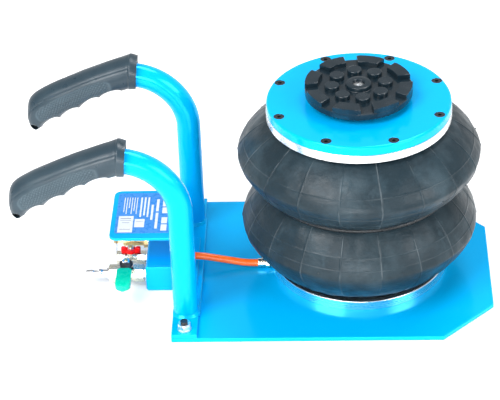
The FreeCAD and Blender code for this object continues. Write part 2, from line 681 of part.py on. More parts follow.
# ---- air hose and its fittings ----
def manifold_hose_fitting():
    thread = rod(NIPPLE_R, BLOCK_WALL + 1, Vector(BLOCK_RIGHT - BLOCK_WALL - 1, 0, HOSE_Z), ALONG_X)
    collar = hexagon(12, 4, Vector(BLOCK_RIGHT, 0, HOSE_Z), ALONG_X)
    sleeve = rod(5.5, 8, Vector(BLOCK_RIGHT + 4, 0, HOSE_Z), ALONG_X)
    whole = thread.fuse([collar, sleeve]).removeSplitter()
    whole = whole.cut(rod(HOSE_BORE_R, 20, Vector(BLOCK_RIGHT - 6, 0, HOSE_Z), ALONG_X))
    return whole.cut(rod(HOSE_R + SCREW_GAP, 10, Vector(BLOCK_RIGHT + 4, 0, HOSE_Z), ALONG_X))


def ring_hose_fitting():
    face = -BASE_RING_R - 4
    thread = rod(NIPPLE_R * 0.8, 12, Vector(face, 0, RING_PORT_Z), ALONG_X)
    collar = hexagon(9.6, 4, Vector(face - 3, 0, RING_PORT_Z), ALONG_X)
    sleeve = rod(4.9, 9, Vector(face - 12, 0, RING_PORT_Z), ALONG_X)
    whole = thread.fuse([collar, sleeve]).removeSplitter()
    whole = whole.cut(rod(HOSE_BORE_R, 30, Vector(face - 13, 0, RING_PORT_Z), ALONG_X))
    return whole.cut(rod(HOSE_R + SCREW_GAP, 9, Vector(face - 12, 0, RING_PORT_Z), ALONG_X))


def air_hose():
    """One long slope between two level ends, as straight runs joined by two arcs."""
    start = Vector(BLOCK_RIGHT + 4, 0, HOSE_Z)
    end = Vector(-BASE_RING_R - 4 - 3, 0, RING_PORT_Z)
    first = start.add(Vector(HOSE_RUN, 0, 0))
    last = end.sub(Vector(HOSE_RUN, 0, 0))
    edges = []
    here = start
    route = [start, first, last, end]
    for k in (1, 2):
        before = route[k].sub(route[k - 1]).normalize()
        after = route[k + 1].sub(route[k]).normalize()
        cut = 0.45 * HOSE_RUN
        enter = route[k].sub(Vector(before).multiply(cut))
        leave = route[k].add(Vector(after).multiply(cut))
        turn = before.getAngle(after)
        radius = cut / math.tan(turn / 2)
        print("hose arc radius", round(radius, 1))
        inward = after.sub(before).normalize()
        centre = route[k].add(Vector(inward).multiply(radius / math.cos(turn / 2)))
        middle = centre.sub(Vector(inward).multiply(radius))
        edges.append(Part.makeLine(here, enter))
        edges.append(Part.Arc(enter, middle, leave).toShape())
        here = leave
    edges.append(Part.makeLine(here, end))
    tube = swept(edges, HOSE_R).cut(swept(edges, HOSE_BORE_R))
    length = Part.Wire(edges).Length
    print("hose volume ratio", tube.Volume / (math.pi * (HOSE_R ** 2 - HOSE_BORE_R ** 2) * length))
    return tube


# ---- rings, screws and bag ----
def bottom_bead_ring():
    whole = ring(BASE_RING_R, RING_INNER_R, BASE_RING_T, Vector(0, 0, BASE_T))
    outer = [e for e in whole.Edges if e.Length > 2 * math.pi * (BASE_RING_R - 1)]
    whole = whole.makeFillet(EDGE_ROUND, [e for e in outer if e.CenterOfMass.z > BASE_T + 1])
    for k in range(SCREW_COUNT):
        place = on_circle(BASE_SCREW_PCD_R, k, SCREW_COUNT, SCREW_FIRST_DEG, BASE_T)
        whole = whole.cut(rod(SCREW_R + SCREW_GAP, BASE_RING_T - 1, place))
    start = Vector(-BASE_RING_R - 1, BASE_CENTRE_Y, RING_PORT_Z)
    port = rod(NIPPLE_R * 0.8 + SCREW_GAP, 9, start, ALONG_X)
    way_in = rod(HOSE_BORE_R, 21, start, ALONG_X)
    return whole.cut(port).cut(way_in)


def bottom_screws():
    screws = []
    for k in range(SCREW_COUNT):
        screw = flipped(countersunk_screw(SCREW_R, SCREW_HEAD_R, BASE_T + BASE_RING_T - 2, SCREW_KEY))
        screw.translate(on_circle(BASE_SCREW_PCD_R, k, SCREW_COUNT, SCREW_FIRST_DEG, 0))
        screws.append(screw)
    return group(screws)


def top_bead_ring():
    whole = ring(TOP_RING_R, RING_INNER_R, RING_T, Vector(0, 0, TOP_RING_Z))
    outer = [e for e in whole.Edges if e.Length > 2 * math.pi * (TOP_RING_R - 1)]
    whole = whole.makeFillet(EDGE_ROUND, outer[:2])
    for k in range(SCREW_COUNT):
        place = on_circle(SCREW_PCD_R, k, SCREW_COUNT, SCREW_FIRST_DEG, TOP_RING_Z + 1)
        whole = whole.cut(rod(SCREW_R + SCREW_GAP, RING_T, place))
    return whole


def top_plate():
    plate = rod(DISC_R, DISC_T, Vector(0, 0, DISC_BOTTOM_Z))
    rim = [e for e in plate.Edges if e.CenterOfMass.z > DISC_TOP_Z - 1 and e.Length > 100]
    plate = plate.makeFillet(2.5, rim)
    for k in range(SCREW_COUNT):
        place = on_circle(SCREW_PCD_R, k, SCREW_COUNT, SCREW_FIRST_DEG, DISC_TOP_Z - SCREW_SINK)
        hole = countersunk_hole(SCREW_R, SCREW_HEAD_R, DISC_T + 1)
        hole.translate(place)
        plate = plate.cut(hole.fuse(rod(SCREW_HEAD_R + SCREW_GAP, 1, place)))
    return plate.cut(rod(PAD_SCREW_R + SCREW_GAP, DISC_T, Vector(0, 0, DISC_BOTTOM_Z)))


def top_screws():
    screws = []
    for k in range(SCREW_COUNT):
        screw = countersunk_screw(SCREW_R, SCREW_HEAD_R, DISC_T + RING_T - 2, SCREW_KEY)
        screw.translate(on_circle(SCREW_PCD_R, k, SCREW_COUNT, SCREW_FIRST_DEG, DISC_TOP_Z - SCREW_SINK))
        screws.append(screw)
    return group(screws)


def lobe_flank(end_r, end_z, nose_r, nose_z, inset):
    """Points from a lobe's end to its nose, on a quarter of a superellipse."""
    points = []
    steps = 6
    for k in range(steps + 1):
        angle = math.pi / 2 * k / steps
        out = math.sin(angle) ** (2 / LOBE_POWER)
        along = math.cos(angle) ** (2 / LOBE_POWER)
        radius = end_r + (nose_r - end_r) * out - inset
        points.append(Vector(radius, 0, nose_z + (end_z - nose_z) * along))
    return points


def lobe_curve(lower, upper):
    """One smooth curve up a lobe's lower flank and over its nose to the end of its upper flank."""
    curve = Part.BSplineCurve()
    curve.interpolate(lower + upper[-2::-1])
    return curve.toShape()


def bag_profile(inset):
    """One side of the bag in the XZ plane: two lobes joined at the waist."""
    low_z = WAIST_Z - WAIST_HALF_T
    high_z = WAIST_Z + WAIST_HALF_T
    low = lobe_curve(lobe_flank(BAG_LOW_R, BAG_LOW_Z, LOBE_LOW_R, LOBE_LOW_Z, inset),
                     lobe_flank(WAIST_R, low_z, LOBE_LOW_R, LOBE_LOW_Z, inset))
    high = lobe_curve(lobe_flank(WAIST_R, high_z, LOBE_HIGH_R, LOBE_HIGH_Z, inset),
                      lobe_flank(BAG_HIGH_R, BAG_HIGH_Z, LOBE_HIGH_R, LOBE_HIGH_Z, inset))
    waist = Part.makeLine(Vector(WAIST_R - inset, 0, low_z), Vector(WAIST_R - inset, 0, high_z))
    return [low, waist, high]


def bag_end(radius, z):
    return Part.makeLine(Vector(radius - BAG_WALL, 0, z), Vector(radius, 0, z))


def bellows():
    loop = bag_profile(0) + bag_profile(BAG_WALL)
    loop = loop + [bag_end(BAG_LOW_R, BAG_LOW_Z), bag_end(BAG_HIGH_R, BAG_HIGH_Z)]
    wire = Part.Wire(Part.__sortEdges__(loop))
    return Part.Face(wire).revolve(Vector(0, 0, 0), UP, 360)


def girdle_hoop():
    return Part.makeTorus(WAIST_R + HOOP_STEP, HOOP_R, Vector(0, 0, WAIST_Z), UP)


# ---- telescopic guide inside the bag ----
def guide_radius(step):
    return GUIDE_OUTER_R - step * (GUIDE_WALL + GUIDE_GAP)


def guide_tube(step, length, z):
    radius = guide_radius(step)
    return ring(radius, radius - GUIDE_WALL, length, Vector(0, 0, z))


def bump_stop():
    """Rubber buffer under the top plate: it lands on the outer guide tube's rim."""
    thick = DISC_BOTTOM_Z - LIFT_DOWN - (BASE_T + GUIDE_LEN) - SOFT_GAP
    inner_r = guide_radius(2) + SOFT_GAP
    return ring(GUIDE_OUTER_R + 4, inner_r, thick, Vector(0, 0, DISC_BOTTOM_Z - thick))


# ---- lifting pad ----
def pad_spacer():
    return ring(SPACER_R, PAD_SCREW_R + SCREW_GAP, SPACER_T, Vector(0, 0, DISC_TOP_Z))


def sector(inner_r, outer_r, middle_deg, half_deg, z, height):
    """A block between two radii, a little narrower at its inner side."""
    inner_half = half_deg * 0.9
    outer_reach = outer_r / math.cos(math.radians(half_deg))
    points = []
    for reach, turn in ((inner_r, -inner_half), (outer_reach, -half_deg),
                        (outer_reach, half_deg), (inner_r, inner_half)):
        angle = math.radians(middle_deg + turn)
        points.append(Vector(reach * math.cos(angle), reach * math.sin(angle), 0))
    return prism(points, z, height)


def rubber_pad():
    """Round pad with a ring of rim lugs, a ring of studs and a boss round its screw."""
    lug_z = PAD_LOW_Z + PAD_BODY_T
    root_z = lug_z - 0.5
    pad = rod(PAD_R, PAD_BODY_T, Vector(0, 0, PAD_LOW_Z))
    outline = rod(PAD_R, PAD_TOP_Z, Vector(0, 0, 0))
    for k in range(PAD_LUG_COUNT):
        lug = sector(PAD_LUG_INNER_R, PAD_R, 45 * k + PAD_LUG_FIRST_DEG, PAD_LUG_HALF_DEG, root_z,
                     PAD_LUG_T + 0.5).common(outline)
        place = on_circle(PAD_STUD_PCD_R, k, PAD_LUG_COUNT, PAD_STUD_FIRST_DEG, root_z)
        stud = Part.makeCone(PAD_STUD_R, PAD_STUD_R - 0.6, PAD_LUG_T + 0.5, place)
        pad = pad.fuse([lug, stud])
    pad = pad.fuse(rod(PAD_BOSS_R, PAD_LUG_T, Vector(0, 0, lug_z))).removeSplitter()
    pad = pad.cut(rod(PAD_SCREW_HEAD_R + 0.1, PAD_TOP_Z, Vector(0, 0, PAD_SEAT_Z)))
    return pad.cut(rod(PAD_SCREW_R + SCREW_GAP, PAD_SCREW_SEAT + 2, Vector(0, 0, PAD_LOW_Z - 1)))


def pad_screw():
    """Cap screw down through the pad, the spacer and the top plate."""
    head = rod(PAD_SCREW_HEAD_R, 4.5, Vector(0, 0, PAD_SEAT_Z))
    head = head.cut(hexagon(5, 3, Vector(0, 0, PAD_SEAT_Z + 1.6)))
    shank_z = DISC_BOTTOM_Z - PAD_NUT_T - 1
    return head.fuse(rod(PAD_SCREW_R, PAD_SEAT_Z - shank_z, Vector(0, 0, shank_z)))


def pad_screw_nut():
    start = Vector(0, 0, DISC_BOTTOM_Z - PAD_NUT_T)
    return hexagon(PAD_NUT_AF, PAD_NUT_T, start).cut(rod(PAD_SCREW_R + SCREW_GAP, PAD_NUT_T, start))


# ---- assembly ----
def handle_pieces():
    near_tube = handle_tube()
    near_weld = handle_weld()
    near_grip = handle_grip()
    near_foot = foot_plate()
    return {
        "cross_member": cross_member(),
        "near_foot_plate": near_foot,
        "far_foot_plate": mirrored_y(near_foot),
        "foot_bolts": foot_bolts(),
        "foot_washers": foot_washers(),
        "foot_nuts": foot_nuts(),
        "handle_welds": group([near_weld, across_to_far(near_weld)]),
        "near_handle_tube": near_tube,
        "far_handle_tube": across_to_far(near_tube),
        "near_grip": near_grip,
        "far_grip": across_to_far(near_grip),
    }


def manifold_pieces():
    nipples = [threaded_nipple(INFLATE_Y), threaded_nipple(RELEASE_Y), relief_nipple()]
    inflate_nut_z = INFLATE_BOSS_Z + LEVER_GAP + LEVER_T
    release_nut_z = RELEASE_BOSS_Z + LEVER_GAP + 4.0
    return {
        "manifold_block": manifold_block(),
        "manifold_end_caps": manifold_end_caps(),
        "label_bracket": label_bracket(),
        "label_sticker": label_sticker(),
        "valve_nipples": group(nipples),
        "inflate_valve_body": valve_body(INFLATE_Y, INFLATE_L, INFLATE_AF, INFLATE_BOSS_Z),
        "inflate_valve_seats": valve_seats(INFLATE_Y, INFLATE_L, INFLATE_AF),
        "inflate_valve_ball": valve_ball(INFLATE_Y, INFLATE_L, INFLATE_AF, ALONG_Y),
        "inflate_valve_stem": valve_stem(INFLATE_Y, INFLATE_L, INFLATE_AF, inflate_nut_z + 5),
        "inflate_lever": inflate_lever(),
        "inflate_lever_sleeve": inflate_sleeve(),
        "inflate_lever_nut": stem_nut(INFLATE_Y, INFLATE_L, inflate_nut_z, 8, 4),
        "quick_plug": quick_plug(),
        "release_valve_body": valve_body(RELEASE_Y, RELEASE_L, RELEASE_AF, RELEASE_BOSS_Z),
        "release_valve_seats": valve_seats(RELEASE_Y, RELEASE_L, RELEASE_AF),
        "release_valve_ball": valve_ball(RELEASE_Y, RELEASE_L, RELEASE_AF, ALONG_X),
        "release_valve_stem": valve_stem(RELEASE_Y, RELEASE_L, RELEASE_AF, release_nut_z + 3.5),
        "release_handle": release_handle(),
        "release_handle_nut": stem_nut(RELEASE_Y, RELEASE_L, release_nut_z, 7, 2.8),
        "relief_valve_body": relief_valve_body(),
        "relief_valve_poppet": relief_poppet(),
        "relief_valve_spring": relief_spring(),
        "relief_pull_ring": relief_ring(),
        "manifold_hose_fitting": manifold_hose_fitting(),
        "ring_hose_fitting": ring_hose_fitting(),
        "air_hose": air_hose(),
    }


def lifting_pieces():
    return {
        "bottom_bead_ring": bottom_bead_ring(),
        "bottom_screws": bottom_screws(),
        "bellows": bellows(),
        "girdle_hoop": girdle_hoop(),
        "top_bead_ring": top_bead_ring(),
        "top_plate": top_plate(),
        "top_screws": top_screws(),
        "guide_outer_tube": guide_tube(0, GUIDE_LEN, BASE_T),
        "guide_middle_tube": guide_tube(1, GUIDE_MID_LEN, GUIDE_MID_Z),
        "guide_inner_tube": guide_tube(2, GUIDE_LEN, DISC_BOTTOM_Z - GUIDE_LEN),
        "bump_stop": bump_stop(),
        "pad_spacer": pad_spacer(),
        "rubber_pad": rubber_pad(),
        "pad_screw": pad_screw(),
        "pad_screw_nut": pad_screw_nut(),
    }


def main():
    os.makedirs("parts", exist_ok=True)
    save("base_plate", base_plate())
    for name, shape in (handle_pieces() | manifold_pieces()).items():
        save(name, on_base(shape))
    for name, shape in lifting_pieces().items():
        save(name, shape)


main()
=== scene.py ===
import math
import random

import bmesh
import bpy
from mathutils import Matrix, Vector, noise


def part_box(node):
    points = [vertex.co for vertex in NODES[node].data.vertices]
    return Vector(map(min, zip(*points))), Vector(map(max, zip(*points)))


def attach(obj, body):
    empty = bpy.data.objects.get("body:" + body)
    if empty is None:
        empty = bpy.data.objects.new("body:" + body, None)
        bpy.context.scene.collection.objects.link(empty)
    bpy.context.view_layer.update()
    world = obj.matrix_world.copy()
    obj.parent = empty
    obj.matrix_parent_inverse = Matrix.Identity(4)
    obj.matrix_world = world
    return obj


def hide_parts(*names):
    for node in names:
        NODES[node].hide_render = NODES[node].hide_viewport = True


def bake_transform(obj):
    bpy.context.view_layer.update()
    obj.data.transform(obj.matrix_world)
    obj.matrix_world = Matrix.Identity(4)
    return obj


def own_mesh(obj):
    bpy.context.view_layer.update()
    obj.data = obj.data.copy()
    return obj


# Looks of the pneumatic lifting jack. Metres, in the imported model's frame: +Z up, the lifting
# axis at the origin, handles towards -X, near side towards -Y.

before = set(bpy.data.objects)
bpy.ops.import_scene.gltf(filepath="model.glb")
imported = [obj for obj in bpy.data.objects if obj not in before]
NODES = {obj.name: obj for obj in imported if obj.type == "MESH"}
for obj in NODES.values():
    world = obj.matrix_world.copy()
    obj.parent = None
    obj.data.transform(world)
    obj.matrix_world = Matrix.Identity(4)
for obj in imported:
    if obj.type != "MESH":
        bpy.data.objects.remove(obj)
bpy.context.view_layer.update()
MM = 0.001
random.seed(11)

# ---- camera ----
CAMERA_PLACE = (-0.02669, -2.00427, 1.42095)
CAMERA_RIGHT = (0.99917, 0.02633, -0.03124)
CAMERA_UP = (0.01139, 0.55472, 0.83196)
CAMERA_LENS = 155.97
CAMERA_SENSOR = 36.0
CAMERA_CLIP_END = 50.0

# ---- light: the sky fades between two heights, and soft boxes of place, size and watts ----
HORIZON_LEVEL = 1.05
CEILING_LEVEL = 0.55
HORIZON_RISE = 0.15
CEILING_RISE = 0.5
LIGHT_TARGET = (0.0, 0.0, 0.1)
SOFT_BOXES = (
    ("key", (-1.3, -1.5, 2.3), (1.6, 1.6), 110.0),
    ("front", (-0.4, -3.2, 0.9), (2.4, 1.0), 70.0),
    ("fill", (2.2, -1.4, 1.5), (1.4, 1.4), 50.0),
    ("rim", (0.9, 1.4, 3.2), (1.6, 1.0), 65.0),
)


# ---- node helpers ----
COAT_ROUGH = 0.05
EDGE_SAMPLES = 4
EDGE_TURN = (0.99, 0.88)
MACHINING_SCALE = 500.0


class Finish:
    """One material's node tree, with the patterns that the finishes share."""

    def __init__(self, name, colour, rough, metal=0.0, specular=0.5, coat=0.0):
        self.material = bpy.data.materials.new(name)
        self.material.use_nodes = True
        self.tree = self.material.node_tree
        self.shader = self.tree.nodes["Principled BSDF"]
        self.set("Metallic", metal)
        self.set("Specular IOR Level", specular)
        self.set("Coat Weight", coat)
        self.set("Coat Roughness", COAT_ROUGH)
        self.set("Roughness", rough)
        self.set("Base Color", (*colour, 1.0))
        self.colour = None
        self.base = (*colour, 1.0)
        self.place = self.add("ShaderNodeTexCoord").outputs["Object"]
        self.normal = None

    def set(self, socket, value):
        self.shader.inputs[socket].default_value = value

    def add(self, kind, **settings):
        made = self.tree.nodes.new(kind)
        for key, value in settings.items():
            setattr(made, key, value)
        return made

    def link(self, output, to):
        self.tree.links.new(output, to)

    def math(self, operation, first, second=0.0):
        made = self.add("ShaderNodeMath", operation=operation)
        for socket, value in zip(made.inputs, (first, second)):
            if isinstance(value, float):
                socket.default_value = value
            else:
                self.link(value, socket)
        return made.outputs[0]

    def ramp(self, value, low, high, to_low=0.0, to_high=1.0):
        made = self.add("ShaderNodeMapRange")
        self.link(value, made.inputs["Value"])
        for socket, number in (("From Min", low), ("From Max", high),
                               ("To Min", to_low), ("To Max", to_high)):
            made.inputs[socket].default_value = number
        return made.outputs["Result"]

    def stretched(self, scale):
        made = self.add("ShaderNodeMapping")
        made.inputs["Scale"].default_value = scale
        self.link(self.place, made.inputs["Vector"])
        return made.outputs["Vector"]

    def cloud(self, scale, detail=2.0, rough=0.5, place=None):
        made = self.add("ShaderNodeTexNoise")
        made.inputs["Scale"].default_value = scale
        made.inputs["Detail"].default_value = detail
        made.inputs["Roughness"].default_value = rough
        self.link(place or self.place, made.inputs["Vector"])
        return made.outputs["Fac"]

    def patches(self, scale, detail, low, high, amount, rough=0.5):
        """Mask of cloudy patches: none where the noise is under low, amount where it is over high."""
        return self.ramp(self.cloud(scale, detail, rough), low, high, 0.0, amount)

    def around_axis(self):
        """Distance from the lifting axis, for turned faces."""
        parts = self.add("ShaderNodeSeparateXYZ")
        self.link(self.place, parts.inputs[0])
        squares = [self.math("MULTIPLY", parts.outputs[i], parts.outputs[i]) for i in (0, 1)]
        reach = self.math("SQRT", self.math("ADD", *squares))
        joined = self.add("ShaderNodeCombineXYZ")
        self.link(reach, joined.inputs[0])
        self.link(parts.outputs[2], joined.inputs[2])
        return joined.outputs[0]

    def tint(self, mask, colour):
        """Mixes a colour into the base where the mask is 1."""
        mix = self.add("ShaderNodeMix", data_type="RGBA")
        self.link(mask, mix.inputs["Factor"])
        if self.colour is None:
            mix.inputs["A"].default_value = self.base
        else:
            self.link(self.colour, mix.inputs["A"])
        mix.inputs["B"].default_value = (*colour, 1.0)
        self.colour = mix.outputs["Result"]
        self.link(self.colour, self.shader.inputs["Base Color"])

    def roughness(self, value, low, high):
        self.link(self.ramp(value, 0.3, 0.7, low, high), self.shader.inputs["Roughness"])

    def soft_edges(self, radius):
        """Rounds the shading of sharp edges and returns a mask of where they are."""
        bevel = self.add("ShaderNodeBevel", samples=EDGE_SAMPLES)
        bevel.inputs["Radius"].default_value = radius
        self.normal = bevel.outputs["Normal"]
        flat = self.add("ShaderNodeNewGeometry").outputs["Normal"]
        dot = self.add("ShaderNodeVectorMath", operation="DOT_PRODUCT")
        self.link(self.normal, dot.inputs[0])
        self.link(flat, dot.inputs[1])
        self.link(self.normal, self.shader.inputs["Normal"])
        return self.ramp(dot.outputs["Value"], *EDGE_TURN)

    def bump(self, height, depth):
        made = self.add("ShaderNodeBump")
        made.inputs["Strength"].default_value = 1.0
        made.inputs["Distance"].default_value = depth
        self.link(height, made.inputs["Height"])
        if self.normal is not None:
            self.link(self.normal, made.inputs["Normal"])
        self.normal = made.outputs["Normal"]
        self.link(self.normal, self.shader.inputs["Normal"])


# ---- finishes ----
def blue_enamel():
    """Glossy sprayed enamel: slight orange peel, uneven film, and a painted highlight along the edges.
    """
    finish = Finish("blue_enamel", (0.0, 0.385, 0.80), 0.16, metal=0.25, specular=0.12)
    edge = finish.soft_edges(0.9 * MM)
    finish.tint(finish.patches(14.0, 3.0, 0.4, 0.75, 0.5), (0.0, 0.395, 0.82))
    finish.tint(finish.patches(300.0, 2.0, 0.62, 0.75, 0.25), (0.0, 0.32, 0.72))
    # Painted highlight: the edges are tinted a lighter cyan.
    finish.tint(finish.math("MULTIPLY", edge, 0.3), (0.05, 0.62, 0.90))
    finish.roughness(finish.cloud(35.0, 4.0, 0.6), 0.10, 0.22)
    finish.bump(finish.cloud(420.0, 2.0), 0.03 * MM)
    return finish.material


def turned_aluminium():
    """Turned bead rings: fine concentric tool marks and a dull oxide bloom."""
    finish = Finish("bead_ring_aluminium", (0.86, 0.87, 0.88), 0.28, metal=1.0)
    edge = finish.soft_edges(0.6 * MM)
    marks = finish.cloud(2400.0, 2.0, 0.6, finish.around_axis())
    finish.tint(finish.patches(45.0, 4.0, 0.45, 0.75, 0.35), (0.66, 0.68, 0.70))
    finish.tint(finish.math("MULTIPLY", edge, 0.5), (0.95, 0.95, 0.95))
    finish.roughness(marks, 0.16, 0.34)
    finish.bump(marks, 0.02 * MM)
    return finish.material


def rubber(name, colour, dust, rough, grain, dusty, specular, uneven=0.0):
    """Moulded rubber: fine grain, dusty smudges, patchy roughness and a slightly uneven face."""
    finish = Finish(name, colour, rough, specular=specular)
    if uneven:
        finish.bump(finish.cloud(38.0, 4.0, 0.6, finish.stretched((1.0, 1.0, 1.9))), uneven)
    streak = finish.cloud(55.0, 3.0, 0.7, finish.stretched((1.0, 1.0, 0.35)))
    finish.tint(finish.patches(26.0, 5.0, 0.42, 0.78, dusty, 0.62), dust)
    finish.tint(finish.ramp(streak, 0.60, 0.80, 0.0, dusty * 0.7), dust)
    finish.roughness(finish.cloud(60.0, 4.0), rough - 0.1, rough + 0.12)
    finish.bump(finish.cloud(900.0, 2.0, 0.7), grain)
    return finish


def bag_rubber():
    """Bag rubber, with worn pale mould lines."""
    finish = rubber("bag_rubber", (0.008, 0.018, 0.025), (0.038, 0.064, 0.080), rough=0.40,
                    grain=0.05 * MM, dusty=0.7, specular=0.21, uneven=1.2 * MM)
    finish.tint(finish.patches(16.0, 5.0, 0.50, 0.72, 0.6, 0.7), (0.008, 0.015, 0.019))
    line = finish.add("ShaderNodeAttribute", attribute_name="mould_line")
    worn = finish.patches(38.0, 3.0, 0.45, 0.7, 0.45)
    finish.tint(finish.math("MULTIPLY", line.outputs["Fac"], worn), (0.16, 0.19, 0.205))
    return finish.material


def pad_rubber():
    return rubber("pad_rubber", (0.005, 0.012, 0.018), (0.016, 0.028, 0.037), rough=0.20,
                  grain=0.015 * MM, dusty=0.3, specular=0.35).material


def grip_plastic():
    """Moulded handle sleeve: leathery grain, a little dust in it, and painted shade in the drain hole.
    """
    finish = Finish("grip_plastic", (0.014, 0.029, 0.041), 0.30, specular=0.35)
    cells = finish.add("ShaderNodeTexVoronoi", feature="F1")
    cells.inputs["Scale"].default_value = 850.0
    finish.link(finish.place, cells.inputs["Vector"])
    finish.tint(finish.patches(30.0, 4.0, 0.45, 0.8, 0.5), (0.034, 0.058, 0.074))
    # The drain mark tints the drain hole near-black: painted shade in the recess.
    for name, colour in (("panel_line", (0.10, 0.145, 0.17)), ("drain", (0.0, 0.002, 0.004))):
        mark = finish.add("ShaderNodeAttribute", attribute_name=name)
        finish.tint(mark.outputs["Fac"], colour)
    finish.roughness(finish.cloud(70.0, 3.0), 0.26, 0.42)
    finish.bump(cells.outputs["Distance"], 0.08 * MM)
    return finish.material


def metal(name, colour, rough, stain, stain_amount, grain=0.02 * MM, metallic=1.0,
          brushed=(1.0, 1.0, 1.0)):
    """Small metal fittings: machining grain, dull stains and bright rubbed edges."""
    finish = Finish(name, colour, rough, metal=metallic)
    edge = finish.soft_edges(0.35 * MM)
    finish.tint(finish.patches(90.0, 4.0, 0.42, 0.75, stain_amount, 0.6), stain)
    finish.tint(finish.math("MULTIPLY", edge, 0.35), tuple(min(1.0, c * 1.25 + 0.05) for c in colour))
    lines = finish.cloud(MACHINING_SCALE, 2.0, 0.6, finish.stretched(brushed))
    finish.roughness(lines, rough * 0.7, min(1.0, rough * 1.35))
    finish.bump(lines, grain)
    return finish.material


def plastic(name, colour, second, rough, specular=0.5, coat=0.0, grain=0.02 * MM):
    """Smooth coloured vinyl, paint or hose: cloudy tint, soft edges and light scuffs."""
    finish = Finish(name, colour, rough, specular=specular, coat=coat)
    edge = finish.soft_edges(0.5 * MM)
    finish.tint(finish.patches(120.0, 3.0, 0.40, 0.72, 1.0), second)
    finish.tint(finish.math("MULTIPLY", edge, 0.25), tuple(min(1.0, c + 0.12) for c in colour))
    finish.roughness(finish.cloud(200.0, 3.0), rough * 0.75, rough * 1.3)
    finish.bump(finish.cloud(700.0, 2.0), grain)
    return finish.material


def floor_paper():
    finish = Finish("floor_paper", (0.93, 0.935, 0.94), 0.8, specular=0.1)
    finish.tint(finish.patches(1.5, 2.0, 0.3, 0.7, 0.5), (0.91, 0.915, 0.92))
    return finish.material


FINISHES = {
    "blue_enamel": blue_enamel(),
    "bead_ring_aluminium": turned_aluminium(),
    "bag_rubber": bag_rubber(),
    "pad_rubber": pad_rubber(),
    "grip_plastic": grip_plastic(),
    "black_steel": metal("black_steel", (0.010, 0.013, 0.016), 0.34, (0.03, 0.034, 0.038), 0.4,
                         metallic=0.3),
    "zinc_steel": metal("zinc_steel", (0.72, 0.73, 0.75), 0.30, (0.50, 0.52, 0.52), 0.5),
    "plain_steel": metal("plain_steel", (0.56, 0.57, 0.59), 0.36, (0.38, 0.37, 0.36), 0.5,
                         brushed=(1.0, 1.0, 0.06)),
    "nickel_brass": metal("nickel_brass", (0.80, 0.77, 0.66), 0.24, (0.60, 0.56, 0.42), 0.45),
    "brass": metal("brass", (0.78, 0.58, 0.27), 0.28, (0.48, 0.30, 0.14), 0.6),
    "chrome": metal("chrome", (0.84, 0.85, 0.87), 0.14, (0.66, 0.67, 0.68), 0.3, 0.005 * MM),
    "green_vinyl": plastic("green_vinyl", (0.0, 0.42, 0.27), (0.0, 0.46, 0.30), 0.26, 0.2, 0.1),
    "red_enamel": plastic("red_enamel", (0.98, 0.006, 0.008), (1.0, 0.010, 0.012), 0.24, 0.15),
    "seat_polymer": plastic("seat_polymer", (0.86, 0.86, 0.83), (0.80, 0.80, 0.77), 0.45),
    "hose_orange": plastic("hose_orange", (0.84, 0.11, 0.01), (0.90, 0.15, 0.02), 0.16, 0.3, 0.1,
                           0.01 * MM),
    "label_film": plastic("label_film", (0.03, 0.20, 0.56), (0.034, 0.21, 0.575), 0.28, 0.3, 0.1,
                          0.005 * MM),
}
LABEL_WHITE = plastic("label_white", (0.62, 0.66, 0.72), (0.56, 0.61, 0.68), 0.32, 0.4, 0.2,
                      0.005 * MM)
LABEL_GREY = plastic("label_grey", (0.20, 0.23, 0.32), (0.25, 0.28, 0.36), 0.4, 0.4, 0.0,
                     0.005 * MM)


def dress_frame():
    for cad_object in NODES.values():
        for slot in cad_object.material_slots:
            slot.material = FINISHES[slot.material.name.split(".")[0]]


# ---- mesh helpers ----
def new_object(name, vertices, faces, material, smooth=True):
    mesh = bpy.data.meshes.new(name)
    mesh.from_pydata(vertices, [], faces)
    mesh.validate()
    mesh.materials.append(material)
    if smooth:
        mesh.shade_smooth()
    made = bpy.data.objects.new(name, mesh)
    bpy.context.scene.collection.objects.link(made)
    return made


def from_bmesh(name, shape, material, sharp_degrees=40.0):
    bmesh.ops.recalc_face_normals(shape, faces=shape.faces)
    mesh = bpy.data.meshes.new(name)
    shape.to_mesh(mesh)
    shape.free()
    mesh.materials.append(material)
    mesh.shade_smooth()
    mesh.set_sharp_from_angle(angle=math.radians(sharp_degrees))
    made = bpy.data.objects.new(name, mesh)
    bpy.context.scene.collection.objects.link(made)
    weighted = made.modifiers.new("face_weights", "WEIGHTED_NORMAL")
    weighted.keep_sharp = True
    return made


def grid_faces(rows, columns):
    """Quads of a tube of rows, each row a closed loop."""
    faces = []
    for row in range(rows - 1):
        for column in range(columns):
            after = (column + 1) % columns
            faces.append((row * columns + column, row * columns + after,
                          (row + 1) * columns + after, (row + 1) * columns + column))
    return faces


def step_between(value, low, high):
    share = min(1.0, max(0.0, (value - low) / (high - low)))
    return share * share * (3.0 - 2.0 * share)


def smooth_curve(knots, value):
    """Smooth pair of values at a place along knots of (place, first, second)."""
    index = max(i for i, knot in enumerate(knots[:-1]) if knot[0] <= value or i == 0)
    before = knots[max(index - 1, 0)]
    start, end = knots[index], knots[index + 1]
    after = knots[min(index + 2, len(knots) - 1)]
    span = end[0] - start[0]
    share = (value - start[0]) / span
    point = []
    for axis in (1, 2):
        slope_in = (end[axis] - before[axis]) / max(end[0] - before[0], 1e-9) * span
        slope_out = (after[axis] - start[axis]) / max(after[0] - start[0], 1e-9) * span
        square, cube = share ** 2, share ** 3
        point.append((2 * cube - 3 * square + 1) * start[axis] + (cube - 2 * square + share) * slope_in
                     + (3 * square - 2 * cube) * end[axis] + (cube - square) * slope_out)
    return point


